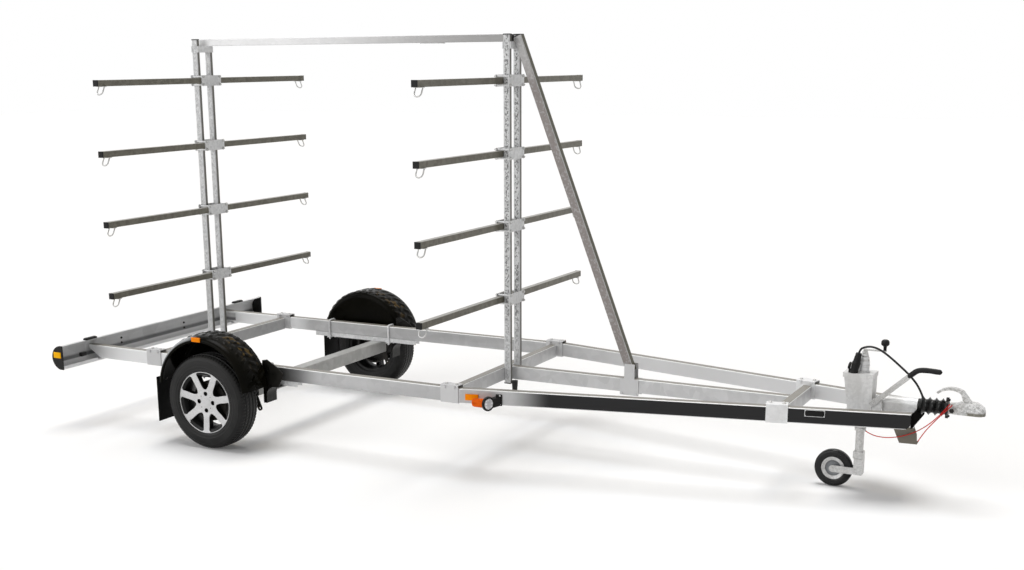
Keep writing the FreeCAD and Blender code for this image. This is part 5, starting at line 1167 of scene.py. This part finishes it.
def asRail(shape, x, z):
    # From (along the rail, outwards, up) to a place on the outer face of the drawn-in left rail
    points, blocks = turnedAbout(shape, origin, upwards, -math.degrees(math.atan(rail["slope"])))
    return points + spot(x, rail["outerY"] - (x - rail["bendX"]) * rail["slope"], z), blocks


low, high = corners("side_reflectors")
lensLow = (axisX + lens["guardRear"], high[1] - lens["guardDepth"], high[2] - lens["guardHeight"])
guardLens = roundBox(lensLow, (axisX + lens["guardFront"], high[1], high[2]), lens["corner"], 3)
railLens = roundBox(lens["railLow"], lens["railHigh"], lens["corner"], 3)
railLens = asRail(railLens, lens["railX"], lens["railZ"])
makePiece("reflector_lenses", joined([bothSides(guardLens), bothSides(railLens)]), "amber_lens",
          replaces=["side_reflectors"], smoothBelow=40)
low, high = corners("bar_reflectors")
barLens = roundBox((low[0], high[1] - lens["barDepth"], low[2]), high, lens["barCorner"], 3)
makePiece("cap_reflector_lenses", bothSides(barLens), "yellow_lens", slot="amber_lens",
          replaces=["bar_reflectors"], smoothBelow=40)
print("reflectors made")


# Marker lamps on the drawn-in rails: oval head turned outwards on a rubber arm, with a screwed foot
marker = {"x": 1.720, "z": 0.4205, "centre": (-0.004, 0.058, -0.007),
          "rear": {"turn": 8.0, "width": 0.80,
                   "profile": [(0, -0.088), (0.016, -0.088), (0.0220, -0.084), (0.0240, -0.074),
                               (0.0250, -0.020), (0.0250, 0.0), (0, 0.0)]},
          "bezel": {"turn": 40.0, "width": 0.92,
                    "profile": [(0, -0.014), (0.028, -0.014), (0.0370, -0.006), (0.0400, -0.002),
                                (0.0400, 0.008), (0.0385, 0.011), (0.0325, 0.0115), (0.0300, 0.0095),
                                (0, 0.0095)]},
          "face": {"turn": 40.0, "width": 0.92,
                   "profile": [(0.0295, 0.0090), (0.0290, 0.0125), (0.026, 0.0150), (0.016, 0.0170),
                               (0, 0.0178)]},
          "armEnd": (0.044, 0.004, 0.002), "armSection": (-0.028, 0.022, -0.014, 0.014),
          "foot": ((0.026, 0.0, -0.030), (0.062, 0.007, 0.034)), "footCorner": 0.003,
          "screw": [(0, 0.006), (0.0052, 0.006), (0.0052, 0.0085), (0.004, 0.0095), (0, 0.0097)],
          "screwsAt": ((0.050, 0, -0.022), (0.050, 0, 0.027))}


def ovalHead(part, centre):
    # A turned shape round the head's axis, squeezed across
    points, blocks = turned(part["profile"], origin, forwards, 40)
    points, blocks = turnedAbout((points * (1, part["width"], 1), blocks), origin, upwards, part["turn"])
    return points + centre, blocks


def markerShape(look):
    rear, bezel, face = (ovalHead(look[part], look["centre"]) for part in ("rear", "bezel", "face"))
    line = np.linspace(0, 1, 9)[:, None]
    path = np.array(look["centre"]) * (1 - line) + np.array(look["armEnd"]) * line
    arm = swept(path, rectangle(*look["armSection"]), upwards)
    foot = roundBox(*look["foot"], look["footCorner"], 3)
    screws = [inMaterial(turned(look["screw"], at, leftwards, 16), 3) for at in look["screwsAt"]]
    return asRail(joined([arm, foot, bezel, inMaterial(rear, 1), inMaterial(face, 2)] + screws),
                  look["x"], look["z"])


makePiece("marker_heads", bothSides(markerShape(marker)),
          ["marker_plastic", "orange_lens", "clear_lens", "zinc_plated"],
          replaces=["marker_lamps"], smoothBelow=40)
print("marker lamps made")


# Blank plate on the near rail: a black face in a thin light frame, with four rivets
blank = {"frame": ((-0.050, 0.0, -0.0175), (0.050, 0.0012, 0.0175)),
         "face": ((-0.0480, 0.0004, -0.0155), (0.0480, 0.0017, 0.0155)),
         "rivet": [(0, 0.0012), (0.0022, 0.0012), (0.0018, 0.0026), (0, 0.0028)],
         "rivetX": 0.045, "rivetZ": 0.013, "corner": 0.0005, "x": 3.368, "z": 0.4495}


def blankShape(look):
    rivets = [turned(look["rivet"], (x, 0, z), leftwards, 12)
              for x in (-look["rivetX"], look["rivetX"]) for z in (-look["rivetZ"], look["rivetZ"])]
    frameShape = roundBox(*look["frame"], look["corner"], 2)
    face = inMaterial(roundBox(*look["face"], look["corner"], 2), 1)
    return asRail(joined([frameShape, face] + rivets), look["x"], look["z"])


makePiece("blank_plate", mirrored(blankShape(blank)), ["clamps", "black_plastic"], slot="zinc_plated")


# Jack's tube: bright rings round it as (from, to, radius), and the core under them. The bore stays clear
# of the leg that slides inside, up to where the leg ends
jack = {"x": 3.540, "bore": 0.0234, "boreTop": 0.69, "headBore": 0.0100, "edge": 0.001,
        "rings": [(0.6285, 0.6350, 0.0305), (0.6380, 0.6560, 0.0265), (0.6590, 0.6650, 0.0285),
                  (0.6680, 0.6850, 0.0262), (0.6960, 0.7060, 0.0236), (0.7150, 0.7200, 0.0196)],
        "core": [(0.0234, 0.629), (0.0252, 0.629), (0.0252, 0.6890), (0.0225, 0.6960), (0.0160, 0.7240),
                 (0.0128, 0.7370), (0.0100, 0.7372), (0.0100, 0.6930), (0.0234, 0.6890)]}


def jackShape(look):
    profiles = []
    for low, high, radius in look["rings"]:
        inner = look["bore"] if low < look["boreTop"] else look["headBore"]
        edge = look["edge"]
        profiles.append([(inner, low), (radius - edge, low), (radius, low + edge), (radius, high - edge),
                         (radius - edge, high), (inner, high)])
    rings = [turned(profile, spot(look["x"], 0, 0), upwards, 40, closed=True) for profile in profiles]
    core = turned(look["core"], spot(look["x"], 0, 0), upwards, 40, closed=True)
    return joined(rings + [inMaterial(core, 1)])


# Small fittings, each turned about an axis through its places
fittings = {
    "clamp_domes": {"look": "zinc_plated", "steps": 20, "axis": upwards, "bothSides": True,
                    "profile": [(0, 0), (0.0105, 0), (0.0105, 0.0016), (0.0085, 0.0020), (0.0075, 0.0055),
                                (0.0045, 0.0075), (0, 0.0080)],
                    "places": [(1.454, 0.664, 0.4875), (1.516, 0.664, 0.4875), (-0.631, 0.664, 0.4875),
                               (-0.569, 0.664, 0.4875), (3.143, 0.290, 0.4875), (3.215, 0.290, 0.4875)]},
    "post_peg": {"look": "rubber_black", "steps": 24, "axis": upwards,
                 "profile": [(0, 0), (0.0185, 0), (0.0180, -0.010), (0.0150, -0.055), (0.0135, -0.063),
                             (0, -0.063)],
                 "places": [(1.563, -0.061, 0.387)]},
    "head_bolt": {"look": "black_steel", "steps": 6, "axis": (0, -1, 0),
                  "profile": [(0, 0), (0.0115, 0), (0.0125, 0.001), (0.0125, 0.006), (0.0110, 0.0075),
                              (0, 0.0078)],
                  "places": [(3.992, -0.053, 0.485)]},
    "flap_bolts": {"look": "black_steel", "steps": 20, "axis": forwards, "bothSides": True,
                   "profile": [(0, 0), (0.0130, 0), (0.0130, 0.0018), (0.0090, 0.0022), (0.0080, 0.0060),
                               (0.0050, 0.0078), (0, 0.0082)],
                   "places": [(-0.345, 0.880, 0.378)]},
}
barBolts = {"size": 0.0036, "places": [(-1.062, -0.475, 0.483), (-1.062, -0.475, 0.452),
                                       (-1.062, 0.131, 0.478), (-1.062, 0.131, 0.444)]}
barConnector = {"low": (-1.063, -0.850, 0.432), "high": (-1.040, -0.806, 0.457), "corner": 0.004}
redDot = {"profile": [(0, 0), (0.0055, 0), (0.0050, 0.0020), (0.0030, 0.0034), (0, 0.0038)],
          "above": (3.780, 0.150, 0.4725), "below": (3.655, -0.160, 0.3935)}


def makeFitting(name, fitting):
    shape = joined([turned(fitting["profile"], spot(*place), fitting["axis"], fitting["steps"])
                    for place in fitting["places"]])
    makePiece(name, bothSides(shape) if fitting.get("bothSides") else shape, fitting["look"])


makeFitting("clamp_domes", fittings["clamp_domes"])
boltShapes = [boltShape(spot(*place), forwards, barBolts["size"]) for place in barBolts["places"]]
makePiece("bar_bolts", joined(boltShapes), "black_steel")
connector = roundBox(spot(*barConnector["low"]), spot(*barConnector["high"]), barConnector["corner"])
makePiece("bar_connector", connector, "black_plastic")
makeFitting("post_peg", fittings["post_peg"])
makePiece("jack_collars", jackShape(jack), ["clamps", "casting"], slot="zinc_plated")
makeFitting("head_bolt", fittings["head_bolt"])
dots = [turned(redDot["profile"], spot(*redDot[place]), axis, 16)
        for place, axis in (("above", upwards), ("below", (0, 0, -1)))]
makePiece("red_dots", joined(dots), "cord_red")
makeFitting("flap_bolts", fittings["flap_bolts"])
print("fittings made")
